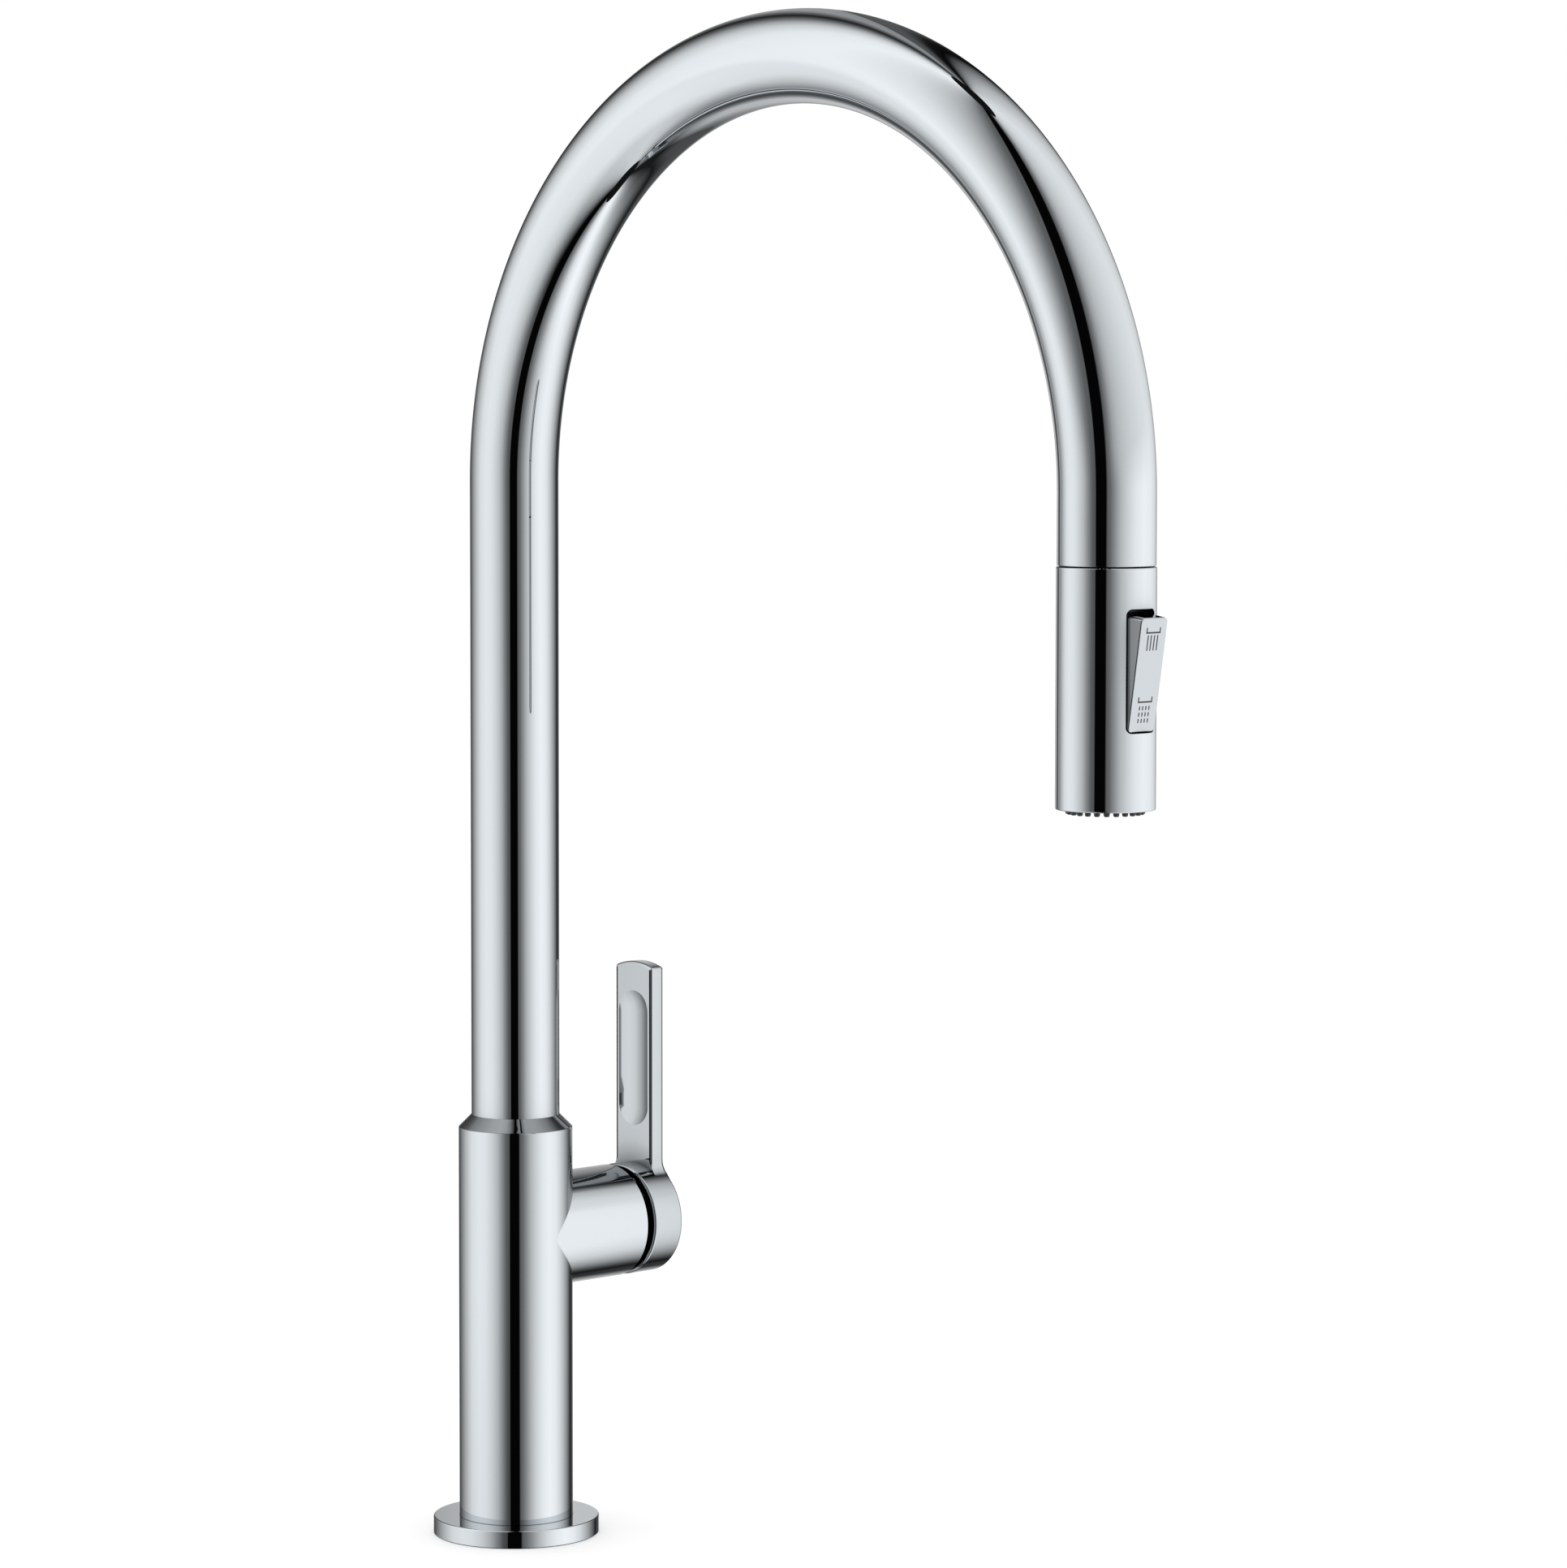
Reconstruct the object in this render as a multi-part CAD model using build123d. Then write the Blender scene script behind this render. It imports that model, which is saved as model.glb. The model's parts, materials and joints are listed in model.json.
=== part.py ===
from build123d import *
import math
import os

# A pull-down kitchen faucet, in millimetres, with +Z up. The origin is the centre of the base ring's
# underside, on the deck. The spout reaches towards -Y and the handle's barrel points along +X.

# Clearances
RUN = 0.05  # radial clearance of a metal or plastic part that turns or slides in another
SEAT = 0.05  # radial clearance of a part that is fixed in another
SOFT = 0.3  # between a moving part and what it only passes
FREE = 0.6  # round a part that swings past

# Spout tube
TUBE_R = 14.0
TUBE_WALL = 1.5
ARC_R = 127.5
NECK_LEN = 20.0
SPRING_RISE = 201.2  # from the column's top to where the arc starts
SPOUT_INSERT = 21.8  # length of tube inside the column
LOCK_GROOVE_W = 3.2
LOCK_GROOVE_DEPTH = 0.7
FOOT_LIP = 1.1
BUSH_H = 4.0
RING_MINOR_R = 0.85

# Column
COLUMN_H = 134.3
COLUMN_R = 18.1
COLUMN_WALL = 2.0
SHOULDER_LEDGE = 4.3
SHOULDER_EDGE = 0.6
BASE_R = 26.35
BASE_H = 5.6
BASE_EDGE = 0.5
BARREL_STEP = 0.1  # how much slimmer the side barrel is than the column
BARREL_EDGE = 1.2
BARREL_LIP = 0.2

# Deck fixing
DECK_HOLE_R = 17.5
DECK_T = 25.0
HOLE_CLEARANCE = 0.2
COLLAR_FLANGE_H = 3.0
COLLAR_LIP_H = 3.0
COLLAR_STEP = 0.3
GASKET_R = 21.75
GASKET_W = 3.5
GASKET_H = 1.8
SHANK_R = 16.0
SHANK_WALL = 1.8
SHANK_DROP = 60.0
SHANK_ENGAGE = 16.0
SHANK_EDGE = 0.8
WASHER_R = 25.0
RUBBER_WASHER_T = 2.5
STEEL_WASHER_T = 2.0
NUT_R = 23.4
NUT_H = 7.5
NUT_STANDOFF = 1.0
JACK_SCREW_R = 2.0
JACK_HEAD_R = 3.0
JACK_HEAD_H = 3.0
JACK_TAIL = 2.5

# Set screws through the back of the column
SET_SCREW_R = 2.0
SET_TIP_R = 1.45
SET_TIP_LEN = 1.1
SET_SINK = 0.2
HEX_R = 1.1
HEX_DEPTH = 1.4

# Valve core and its ports
CORE_BACK_X = -2.6
CORE_TOP_MARGIN = 0.3
CORE_LOWER_H = 18.0
CORE_UPPER_H = 28.5
FOOT_GAP = 4.0
INLET_X = 3.4
INLET_Y = 8.4
OUTLET_X = 9.2
PORT_R = 4.5
PORT_DEPTH = 12.0
WATERWAY_R = 2.2

# Cartridge, along the barrel
CARTRIDGE_SEAT_X = 8.0
CARTRIDGE_R = 12.5
CARTRIDGE_WALL = 1.5
CARTRIDGE_BASE_T = 4.0
CARTRIDGE_END_T = 2.0
PORT_Y = 6.4
PORT_RISE = 2.5
PORT_DROP = 6.0
DISC_PORT_R = 1.9
OUTLET_PORT_R = 2.2
SEAL_R = 3.1
SEAL_T = 1.2
FIXED_DISC_T = 2.5
MOVING_DISC_T = 3.0
MOVING_DISC_R = 8.6
DISC_GAP = 0.02
CAVITY_R = 7.4
CAVITY_TOP = 0.4
CAVITY_DEPTH = 1.4
COUPLER_T = 3.5
COUPLER_FLAT = 7.5
CARRIER_T = 9.2
CARRIER_GAP = 0.2
FINGER_T = 1.7
FINGER_W = 6.0
PIVOT_FROM_CARRIER = 4.8
CARRIER_PIN_R = 1.5
CARTRIDGE_NUT_R = 15.0
CARTRIDGE_NUT_T = 5.6
BONNET_T = 3.2
BONNET_EDGE = 0.8

# Lever inside the cartridge
TIP_R = 2.0
TIP_NECK_R = 1.5
TIP_CLEARANCE = 0.1
TIP_IN_COUPLER = 2.1
LEVER_HALF_W = 3.5
LEVER_R = 4.0
LEVER_BOSS_R = 4.2
SQUARE_W = 7.0
SQUARE_CLEARANCE = 0.1
OPEN_DEG = 15.0  # how far the handle tips to open the valve

# Handle
HANDLE_GAP = 2.1
HANDLE_T = 11.9
HANDLE_CUP_WALL = 2.2
HANDLE_FACE_T = 3.2
HANDLE_EDGE = 0.8
HUB_R = 7.5
HUB_RECESS = 0.9
BLADE_T = 5.3
BLADE_HALF_W = 8.6
BLADE_RISE = 83.4
BLADE_CROWN_R = 23.0
BLADE_ROOT_R = 5.0
SCOOP_HALF_W = 7.0
SCOOP_DEPTH = 1.4
SCOOP_FROM = 29.9
SCOOP_TO = 73.9
HANDLE_SCREW_R = 2.0
HANDLE_SCREW_LEN = 7.0
HANDLE_BOSS_HALF_W = 4.0
HANDLE_BOSS_SETBACK = 1.5  # keeps the screw's boss off the barrel's rim as the handle tips
PLUG_R = 2.6
PLUG_T = 2.0

# Pull-out hose
HOSE_R = 4.5
HOSE_WALL = 1.5
HOSE_X = -7.6  # where it passes the valve core
HOSE_BEND_H = 44.0
HOSE_BEND_DROP = 2.5
HOSE_JOIN_GAP = 0.3
COUPLING_R = 6.0
COUPLING_LEN = 16.0
HOSE_TAIL = 2.0

# Spray head
HEAD_R = 14.2
HEAD_WALL = 1.7
HEAD_LEN = 68.3
SEAM_GAP = 0.3
HEAD_EDGE = 0.4
DOCK_H = 13.0
DOCK_R = 9.1
SPIGOT_H = 5.3
COLLAR_H = 3.4
FERRULE_R = 6.3
FERRULE_LEN = 12.0
FERRULE_START = 2.2
FITTING_R = 7.8
FITTING_H = 5.4
FLANGE_R = 9.0
FLANGE_H = 2.6
TAIL_R = 3.15
FITTING_BORE_R = 2.2
END_RING_MINOR_R = 0.6
CHECK_VALVE_R = 6.0
CHECK_VALVE_H = 3.5

# Rocker button, its pin and the spool that it moves
ROCKER_DROP = 28.8  # from the head's top to the rocker's pivot
ROCKER_SLOT_HALF_H = 17.4
ROCKER_SLOT_HALF_W = 5.8
ROCKER_SLOT_CORNER_R = 1.8
ROCKER_HALF_W = 5.45
ROCKER_HALF_H = 16.3
ROCKER_PIVOT_RHO = 9.5
ROCKER_FACE = 6.62
ROCKER_BACK = 0.6
ROCKER_TILT = 8.95  # the face leans out at the top by this much at rest, and in by as much when pressed
ROCKER_HEEL = 1.9  # bevel behind the ends, which swing in under the hose's end
ROCKER_BOSS_R = 2.4
ROCKER_PIN_R = 1.0
POCKET_RHO = 6.3
POCKET_HALF_W = 6.1
POCKET_SHOULDER_RHO = 8.7
POCKET_SHOULDER_H = 16.3  # above the pivot the pocket is shallower, to keep a wall round the hose's end
RELIEF_RHO = 4.0
RELIEF_HALF_W = 4.0
RELIEF_HALF_H = 2.9
SPOOL_ARM = -7.0
SPOOL_R = 2.5
SPOOL_BORE_RHO = -11.5
SPOOL_END_RHO = -11.2
SPOOL_INNER_LAND = 1.9
SPOOL_WAIST_LEN = 5.4
SPOOL_NECK_R = 1.2
SPOOL_NECK_LEN = 2.5
SPOOL_CAP_R = 2.0
SPOOL_CAP_T = 0.9
SPOOL_RING_MINOR_R = 0.42
SPOOL_RING_SETBACK = 2.6
FORK_T = 1.8
FORK_V = -2.67
FORK_HALF_H = 1.6
FORK_HALF_W = 3.6
FORK_SLOT_HALF_W = 1.3
STRUT_HALF_GAP = 2.4

# Spray face
FACE_RECESS = 1.5
PLATE_T = 3.0
MAT_T = 1.2
NUB_R = 0.9
NUB_HOLE_R = 0.35
NUB_DROP = 1.3
NUB_COUNT = 24
NUB_CIRCLE_R = 10.4
FACE_SEAL_T = 1.4
FACE_SEAL_W = 1.6
AERATOR_R = 6.2
AERATOR_WALL = 1.0
AERATOR_RECESS = 0.7
SCREEN_T = 0.4
SCREEN_COUNT = 3
SCREEN_PITCH = 1.6
CHAMBER_H = 6.0
STREAM_RHO = -1.2
SPRAY_RHO = -8.8
SUPPLY_RHO = -5.0
PASSAGE_R = 1.4

# Places worked out from the sizes above
COLUMN_BORE_R = COLUMN_R - COLUMN_WALL
THROAT_R = TUBE_R + RUN
TUBE_BORE_R = TUBE_R - TUBE_WALL
SHOULDER_Z = COLUMN_H - (COLUMN_R - THROAT_R)
LEDGE_Z = COLUMN_H - SHOULDER_LEDGE
SPRING_Z = COLUMN_H + SPRING_RISE
NECK_END_Z = SPRING_Z - NECK_LEN
REACH = 2 * ARC_R
FOOT_Z = COLUMN_H - SPOUT_INSERT
LOCK_Z = FOOT_Z + FOOT_LIP + LOCK_GROOVE_W / 2
LOWER_BUSH_Z = LOCK_Z + SET_SCREW_R + SOFT
UPPER_BUSH_Z = LEDGE_Z - BUSH_H
BARREL_Z = FOOT_Z - FOOT_GAP - CORE_TOP_MARGIN - CARTRIDGE_R
BARREL_R = COLUMN_R - BARREL_STEP
CORE_R = COLUMN_BORE_R - SEAT
CORE_TOP_Z = BARREL_Z + CARTRIDGE_R + CORE_TOP_MARGIN
CORE_STEP_Z = CORE_TOP_Z - CORE_UPPER_H
CORE_BOTTOM_Z = CORE_STEP_Z - CORE_LOWER_H
CORE_SCREW_Z = CORE_BOTTOM_Z + (PORT_DEPTH + CORE_LOWER_H) / 2
FIXED_DISC_X = CARTRIDGE_SEAT_X + CARTRIDGE_BASE_T
MOVING_DISC_X = FIXED_DISC_X + FIXED_DISC_T + DISC_GAP
COUPLER_X = MOVING_DISC_X + MOVING_DISC_T
CARRIER_X = COUPLER_X + COUPLER_T + CARRIER_GAP
HOUSING_END_X = CARRIER_X + CARRIER_T + CARRIER_GAP
CARTRIDGE_NUT_X = HOUSING_END_X + CARTRIDGE_END_T
BONNET_X = CARTRIDGE_NUT_X + CARTRIDGE_NUT_T
BARREL_END_X = BONNET_X + BONNET_T + BARREL_LIP
HANDLE_X = BARREL_END_X + HANDLE_GAP
HANDLE_END_X = HANDLE_X + HANDLE_T
HUB_END_X = HANDLE_END_X - HANDLE_FACE_T
HUB_X = HANDLE_X + HUB_RECESS
HANDLE_BOSS_X = HUB_X + HANDLE_BOSS_SETBACK
BLADE_X = HANDLE_END_X - BLADE_T
HANDLE_SCREW_X = (HANDLE_BOSS_X + HUB_END_X) / 2
PIVOT_X = CARRIER_X + PIVOT_FROM_CARRIER
TIP_X = COUPLER_X + TIP_IN_COUPLER
CARTRIDGE_BORE_R = CARTRIDGE_R - CARTRIDGE_WALL
CARRIER_R = CARTRIDGE_BORE_R - RUN
SHANK_BORE_R = SHANK_R - SHANK_WALL
COLLAR_R = DECK_HOLE_R - HOLE_CLEARANCE
COLLAR_FLANGE_R = COLLAR_R + COLLAR_STEP
COLLAR_BORE_R = SHANK_R + SEAT
STEEL_WASHER_Z = -DECK_T - RUBBER_WASHER_T
NUT_Z = STEEL_WASHER_Z - STEEL_WASHER_T - NUT_STANDOFF
JACK_SCREW_CIRCLE_R = (SHANK_R + NUT_R) / 2
HOSE_BEND_Z = CORE_TOP_Z - HOSE_BEND_DROP
HOSE_SPLIT_Z = HOSE_BEND_Z + HOSE_BEND_H
HOSE_END_Z = -SHANK_DROP - HOSE_TAIL
HOSE_BORE_R = HOSE_R - HOSE_WALL
HEAD_TOP_Z = NECK_END_Z - SEAM_GAP
HEAD_BOTTOM_Z = HEAD_TOP_Z - HEAD_LEN
HEAD_BORE_R = HEAD_R - HEAD_WALL
INNER_R = HEAD_BORE_R - SEAT
INNER_TOP_Z = HEAD_TOP_Z - COLLAR_H
FITTING_TOP_Z = INNER_TOP_Z - FLANGE_H - RUN
FITTING_BOTTOM_Z = FITTING_TOP_Z - FITTING_H
CHECK_VALVE_Z = FITTING_BOTTOM_Z - RUN - CHECK_VALVE_H
FERRULE_Z = INNER_TOP_Z + FERRULE_START
HOSE_START_Z = FERRULE_Z + FERRULE_LEN
ROCKER_Z = HEAD_TOP_Z - ROCKER_DROP
SPOOL_Z = ROCKER_Z + SPOOL_ARM
ROCKER_LEAN = math.radians(ROCKER_TILT)
FORK_RHO = ROCKER_PIVOT_RHO + FORK_V * math.cos(ROCKER_LEAN) + SPOOL_ARM * math.sin(ROCKER_LEAN)
SPOOL_NECK_FROM = FORK_RHO - SPOOL_NECK_LEN / 2
PLATE_Z = HEAD_BOTTOM_Z + FACE_RECESS
MAT_Z = PLATE_Z + PLATE_T
FACE_SEAL_Z = MAT_Z + MAT_T
INNER_BOTTOM_Z = FACE_SEAL_Z + FACE_SEAL_T
AERATOR_Z = HEAD_BOTTOM_Z + AERATOR_RECESS
AERATOR_TOP_Z = INNER_BOTTOM_Z + CHAMBER_H / 2


def turned(points):
    """A solid of revolution about Z, from its half section as (radius, z) points."""
    section = Plane.XZ * make_face(Polyline(*points, close=True))
    return revolve(section, Axis.Z)


def rod(radius, low, high):
    """A cylinder about Z between two heights."""
    bottom = (Align.CENTER, Align.CENTER, Align.MIN)
    return Pos(0, 0, low) * Cylinder(radius, high - low, align=bottom)


def ring(outer, inner, low, high):
    """A tube about Z between two heights."""
    return rod(outer, low, high) - rod(inner, low - 1, high + 1)


def along_barrel(shape):
    """Turns a shape made about Z so that its Z runs out along the barrel's axis."""
    return Pos(0, 0, BARREL_Z) * Rot(0, 90, 0) * shape


def on_head(shape):
    """Moves a shape made about the column's axis onto the spray head's axis."""
    return Pos(0, -REACH, 0) * shape


def block(x_range, y_range, z_range):
    """A box between two x, two y and two z values."""
    size = [high - low for low, high in (x_range, y_range, z_range)]
    middle = [(low + high) / 2 for low, high in (x_range, y_range, z_range)]
    return Pos(*middle) * Box(*size)


def rho_block(half_w, rho_range, z_range):
    """A box in the head, between two distances in front of the head's axis."""
    low, high = rho_range
    return block((-half_w, half_w), (-REACH - high, -REACH - low), z_range)


def rho_rod(radius, rho_low, rho_high, z):
    """A cylinder in the head that points from the back to the front."""
    return Pos(0, -REACH, z) * Rot(90, 0, 0) * rod(radius, rho_low, rho_high)


def passage(radius, rho, low, high):
    """An upright waterway in the head, at a distance in front of its axis."""
    return Pos(0, -REACH - rho, 0) * rod(radius, low, high)


def save(shape, node):
    export_step(shape, f"parts/{node}.step")


# Base and deck fixing


def base_ring():
    body = ring(BASE_R, SHANK_R + SOFT, 0, BASE_H)
    top_edge = body.edges().filter_by(GeomType.CIRCLE).group_by(SortBy.RADIUS)[-1].sort_by(Axis.Z)[-1]
    body = fillet(top_edge, BASE_EDGE)
    body -= rod(COLLAR_FLANGE_R + SEAT, -1, COLLAR_FLANGE_H)
    return body - ring(GASKET_R + GASKET_W / 2 + SEAT, GASKET_R - GASKET_W / 2 - SEAT, -1, GASKET_H)


def base_gasket():
    return ring(GASKET_R + GASKET_W / 2, GASKET_R - GASKET_W / 2, 0, GASKET_H)


def centering_collar():
    lip_edge = COLLAR_STEP
    return turned(
        [
            (COLLAR_BORE_R, -COLLAR_LIP_H),
            (COLLAR_R - lip_edge, -COLLAR_LIP_H),
            (COLLAR_R, -COLLAR_LIP_H + lip_edge),
            (COLLAR_R, 0),
            (COLLAR_FLANGE_R, 0),
            (COLLAR_FLANGE_R, COLLAR_FLANGE_H),
            (COLLAR_BORE_R, COLLAR_FLANGE_H),
        ]
    )


def mounting_shank():
    top = BASE_H + SHANK_ENGAGE
    return turned(
        [
            (SHANK_BORE_R, -SHANK_DROP),
            (SHANK_R - SHANK_EDGE, -SHANK_DROP),
            (SHANK_R, -SHANK_DROP + SHANK_EDGE),
            (SHANK_R, top - SHANK_EDGE),
            (SHANK_R - SHANK_EDGE, top),
            (SHANK_BORE_R, top),
        ]
    )


def deck_washer_rubber():
    return ring(WASHER_R, SHANK_R + SOFT, STEEL_WASHER_Z, -DECK_T)


def deck_washer_steel():
    return ring(WASHER_R, SHANK_R + SOFT, STEEL_WASHER_Z - STEEL_WASHER_T, STEEL_WASHER_Z)


def jack_places():
    return [Pos(side * JACK_SCREW_CIRCLE_R, 0, 0) for side in (-1, 1)]


def mounting_nut():
    body = ring(NUT_R, SHANK_R + SEAT, NUT_Z - NUT_H, NUT_Z)
    for place in jack_places():
        body -= place * rod(JACK_SCREW_R + SEAT, NUT_Z - NUT_H - 1, NUT_Z + 1)
    notch_low = NUT_R - 1.5 * BASE_EDGE
    for turn in range(8):
        notch = block((notch_low, NUT_R + 1), (-JACK_SCREW_R, JACK_SCREW_R), (NUT_Z - NUT_H, NUT_Z))
        body -= Rot(0, 0, 45 * turn + 22.5) * notch
    return body


def nut_jack_screws():
    tip_z = NUT_Z + NUT_STANDOFF
    head_z = NUT_Z - NUT_H - JACK_TAIL
    screw = rod(JACK_SCREW_R, head_z, tip_z) + rod(JACK_HEAD_R, head_z - JACK_HEAD_H, head_z)
    slot_half_w = JACK_HEAD_H / 6
    slot_top = head_z - 2 * JACK_HEAD_H / 3
    slot = block((-JACK_HEAD_R, JACK_HEAD_R), (-slot_half_w, slot_half_w), (head_z - JACK_HEAD_H, slot_top))
    return Compound([place * (screw - slot) for place in jack_places()])


# Column


def set_screw_hole(x, z):
    return Pos(x, 0, z) * Rot(-90, 0, 0) * rod(SET_SCREW_R + SEAT, COLUMN_BORE_R - 1, COLUMN_R + 1)


def body_column():
    column = turned(
        [(0, BASE_H), (COLUMN_R, BASE_H), (COLUMN_R, SHOULDER_Z), (THROAT_R, COLUMN_H), (0, COLUMN_H)]
    )
    shoulder = column.edges().filter_by(GeomType.CIRCLE).filter_by_position(Axis.Z, SHOULDER_Z, SHOULDER_Z)
    column = fillet(shoulder, SHOULDER_EDGE)
    barrel = turned(
        [
            (0, 0),
            (BARREL_R, 0),
            (BARREL_R, BARREL_END_X - BARREL_EDGE),
            (BARREL_R - BARREL_EDGE, BARREL_END_X),
            (0, BARREL_END_X),
        ]
    )
    body = column + along_barrel(barrel)
    body -= rod(COLUMN_BORE_R, BASE_H - 1, LEDGE_Z)
    body -= rod(THROAT_R, LEDGE_Z - 1, COLUMN_H + 1)
    body -= along_barrel(rod(CARTRIDGE_R + SEAT, 0, CARTRIDGE_NUT_X))
    body -= along_barrel(rod(CARTRIDGE_NUT_R, CARTRIDGE_NUT_X, BARREL_END_X + 1))
    body -= set_screw_hole(0, LOCK_Z)
    return body - set_screw_hole(INLET_X, CORE_SCREW_Z)


def set_screw(x, z):
    """A grub screw with a dog point, through the column's back wall."""
    tip = TUBE_R - LOCK_GROOVE_DEPTH + SEAT
    body_from = tip + SET_TIP_LEN
    outer = COLUMN_R - SET_SINK
    screw = rod(SET_TIP_R, tip, body_from) + rod(SET_SCREW_R, body_from, outer)
    socket = extrude(RegularPolygon(HEX_R, 6), HEX_DEPTH)
    screw -= Pos(0, 0, outer - HEX_DEPTH) * socket
    return Pos(x, 0, z) * Rot(-90, 0, 0) * screw


def column_set_screws():
    return Compound([set_screw(0, LOCK_Z), set_screw(INLET_X, CORE_SCREW_Z)])


def valve_core():
    lower = rod(CORE_R, CORE_BOTTOM_Z, CORE_STEP_Z) & block(
        (CORE_BACK_X, COLUMN_R), (-COLUMN_R, COLUMN_R), (CORE_BOTTOM_Z, CORE_STEP_Z)
    )
    upper = rod(CORE_R, CORE_STEP_Z, CORE_TOP_Z) & block(
        (CORE_BACK_X, CARTRIDGE_SEAT_X), (-COLUMN_R, COLUMN_R), (CORE_STEP_Z, CORE_TOP_Z)
    )
    body = lower + upper
    port_top = CORE_BOTTOM_Z + PORT_DEPTH
    inlet_z = BARREL_Z + PORT_RISE
    for side in (-1, 1):
        port = Pos(INLET_X, side * INLET_Y, 0)
        body -= port * rod(PORT_R, CORE_BOTTOM_Z - 1, port_top)
        body -= port * rod(WATERWAY_R, port_top - 1, inlet_z)
        cross = rod(DISC_PORT_R, INLET_X, CARTRIDGE_SEAT_X + 1)
        body -= Pos(0, side * PORT_Y, inlet_z) * Rot(0, 90, 0) * cross
    outlet_z = BARREL_Z - PORT_DROP
    body -= Pos(OUTLET_X, 0, 0) * rod(PORT_R, CORE_BOTTOM_Z - 1, port_top)
    gallery_x = CARTRIDGE_SEAT_X - WATERWAY_R - 1
    body -= Pos(gallery_x, 0, 0) * rod(WATERWAY_R, port_top - WATERWAY_R, outlet_z)
    body -= Pos(0, 0, outlet_z) * Rot(0, 90, 0) * rod(OUTLET_PORT_R, gallery_x, CARTRIDGE_SEAT_X + 1)
    tip = TUBE_R - LOCK_GROOVE_DEPTH
    screw_hole = rod(SET_SCREW_R + SEAT, tip, COLUMN_R)
    return body - Pos(INLET_X, 0, CORE_SCREW_Z) * Rot(-90, 0, 0) * screw_hole


def bush(low):
    return ring(COLUMN_BORE_R - SEAT / 2, TUBE_R + RUN, low, low + BUSH_H)


# Cartridge


def port_places():
    """The cartridge's three ports, seen along the barrel: local x is down and local y is along +Y."""
    inlets = [(Pos(-PORT_RISE, side * PORT_Y, 0), DISC_PORT_R) for side in (-1, 1)]
    return inlets + [(Pos(PORT_DROP, 0, 0), OUTLET_PORT_R)]


def cartridge_seals():
    seals = [
        place * ring(SEAL_R, radius + RUN, CARTRIDGE_SEAT_X, CARTRIDGE_SEAT_X + SEAL_T)
        for place, radius in port_places()
    ]
    return Compound([along_barrel(seal) for seal in seals])


def cartridge_base():
    body = rod(CARTRIDGE_R, CARTRIDGE_SEAT_X, FIXED_DISC_X)
    for place, radius in port_places():
        body -= place * rod(radius, CARTRIDGE_SEAT_X - 1, FIXED_DISC_X + 1)
        body -= place * rod(SEAL_R + SEAT, CARTRIDGE_SEAT_X - 1, CARTRIDGE_SEAT_X + SEAL_T)
    return along_barrel(body)


def fixed_disc():
    disc = rod(CARTRIDGE_BORE_R - SEAT, FIXED_DISC_X, FIXED_DISC_X + FIXED_DISC_T)
    for place, radius in port_places():
        disc -= place * rod(radius, FIXED_DISC_X - 1, FIXED_DISC_X + FIXED_DISC_T + 1)
    return along_barrel(disc)


def moving_disc():
    disc = rod(MOVING_DISC_R, MOVING_DISC_X, COUPLER_X)
    cavity = rod(CAVITY_R, MOVING_DISC_X - 1, MOVING_DISC_X + CAVITY_DEPTH)
    below = block((-CAVITY_TOP, CAVITY_R), (-CAVITY_R, CAVITY_R), (MOVING_DISC_X - 1, COUPLER_X))
    return along_barrel(disc - (cavity & below))


def disc_coupler():
    body = rod(MOVING_DISC_R, COUPLER_X, COUPLER_X + COUPLER_T)
    between_flats = (-COUPLER_FLAT, COUPLER_FLAT)
    body &= block((-MOVING_DISC_R, MOVING_DISC_R), between_flats, (COUPLER_X, COUPLER_X + COUPLER_T))
    return along_barrel(body - rod(TIP_R + TIP_CLEARANCE, COUPLER_X - 1, COUPLER_X + COUPLER_T + 1))


def cartridge_carrier():
    """The rotor that turns with the handle. Its two fingers guide the coupler's flats."""
    body = rod(CARRIER_R, CARRIER_X, CARRIER_X + CARRIER_T)
    slot_half = LEVER_R / math.cos(math.radians(OPEN_DEG)) + FREE
    slot_half += (CARRIER_T - PIVOT_FROM_CARRIER) * math.tan(math.radians(OPEN_DEG))
    slot_w = LEVER_HALF_W + RUN
    body -= block((-slot_half, slot_half), (-slot_w, slot_w), (CARRIER_X - 1, CARRIER_X + CARRIER_T + 1))
    inner = COUPLER_FLAT + RUN
    for side in (-1, 1):
        y_range = sorted((side * inner, side * (inner + FINGER_T)))
        body += block((-FINGER_W / 2, FINGER_W / 2), y_range, (COUPLER_X + CARRIER_GAP, CARRIER_X + 1))
    pin_hole = Pos(0, 0, PIVOT_X) * Rot(90, 0, 0) * rod(CARRIER_PIN_R, -CARRIER_R - 1, CARRIER_R + 1)
    return along_barrel(body - pin_hole)


def carrier_pin():
    half = math.sqrt(CARRIER_R**2 - CARRIER_PIN_R**2) - SEAT
    return Pos(PIVOT_X, 0, BARREL_Z) * Rot(90, 0, 0) * rod(CARRIER_PIN_R, -half, half)


def cartridge_housing():
    body = ring(CARTRIDGE_R, CARTRIDGE_BORE_R, FIXED_DISC_X, CARTRIDGE_NUT_X)
    hole = lever_window(CARTRIDGE_NUT_X)
    body += ring(CARTRIDGE_BORE_R + CARTRIDGE_WALL / 2, hole, HOUSING_END_X, CARTRIDGE_NUT_X)
    return along_barrel(body)


def lever_window(x):
    """The radius of a round hole that the lever swings inside, at a place along the barrel."""
    tilt = math.radians(OPEN_DEG)
    return LEVER_R / math.cos(tilt) + (x - PIVOT_X) * math.tan(tilt) + FREE


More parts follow.
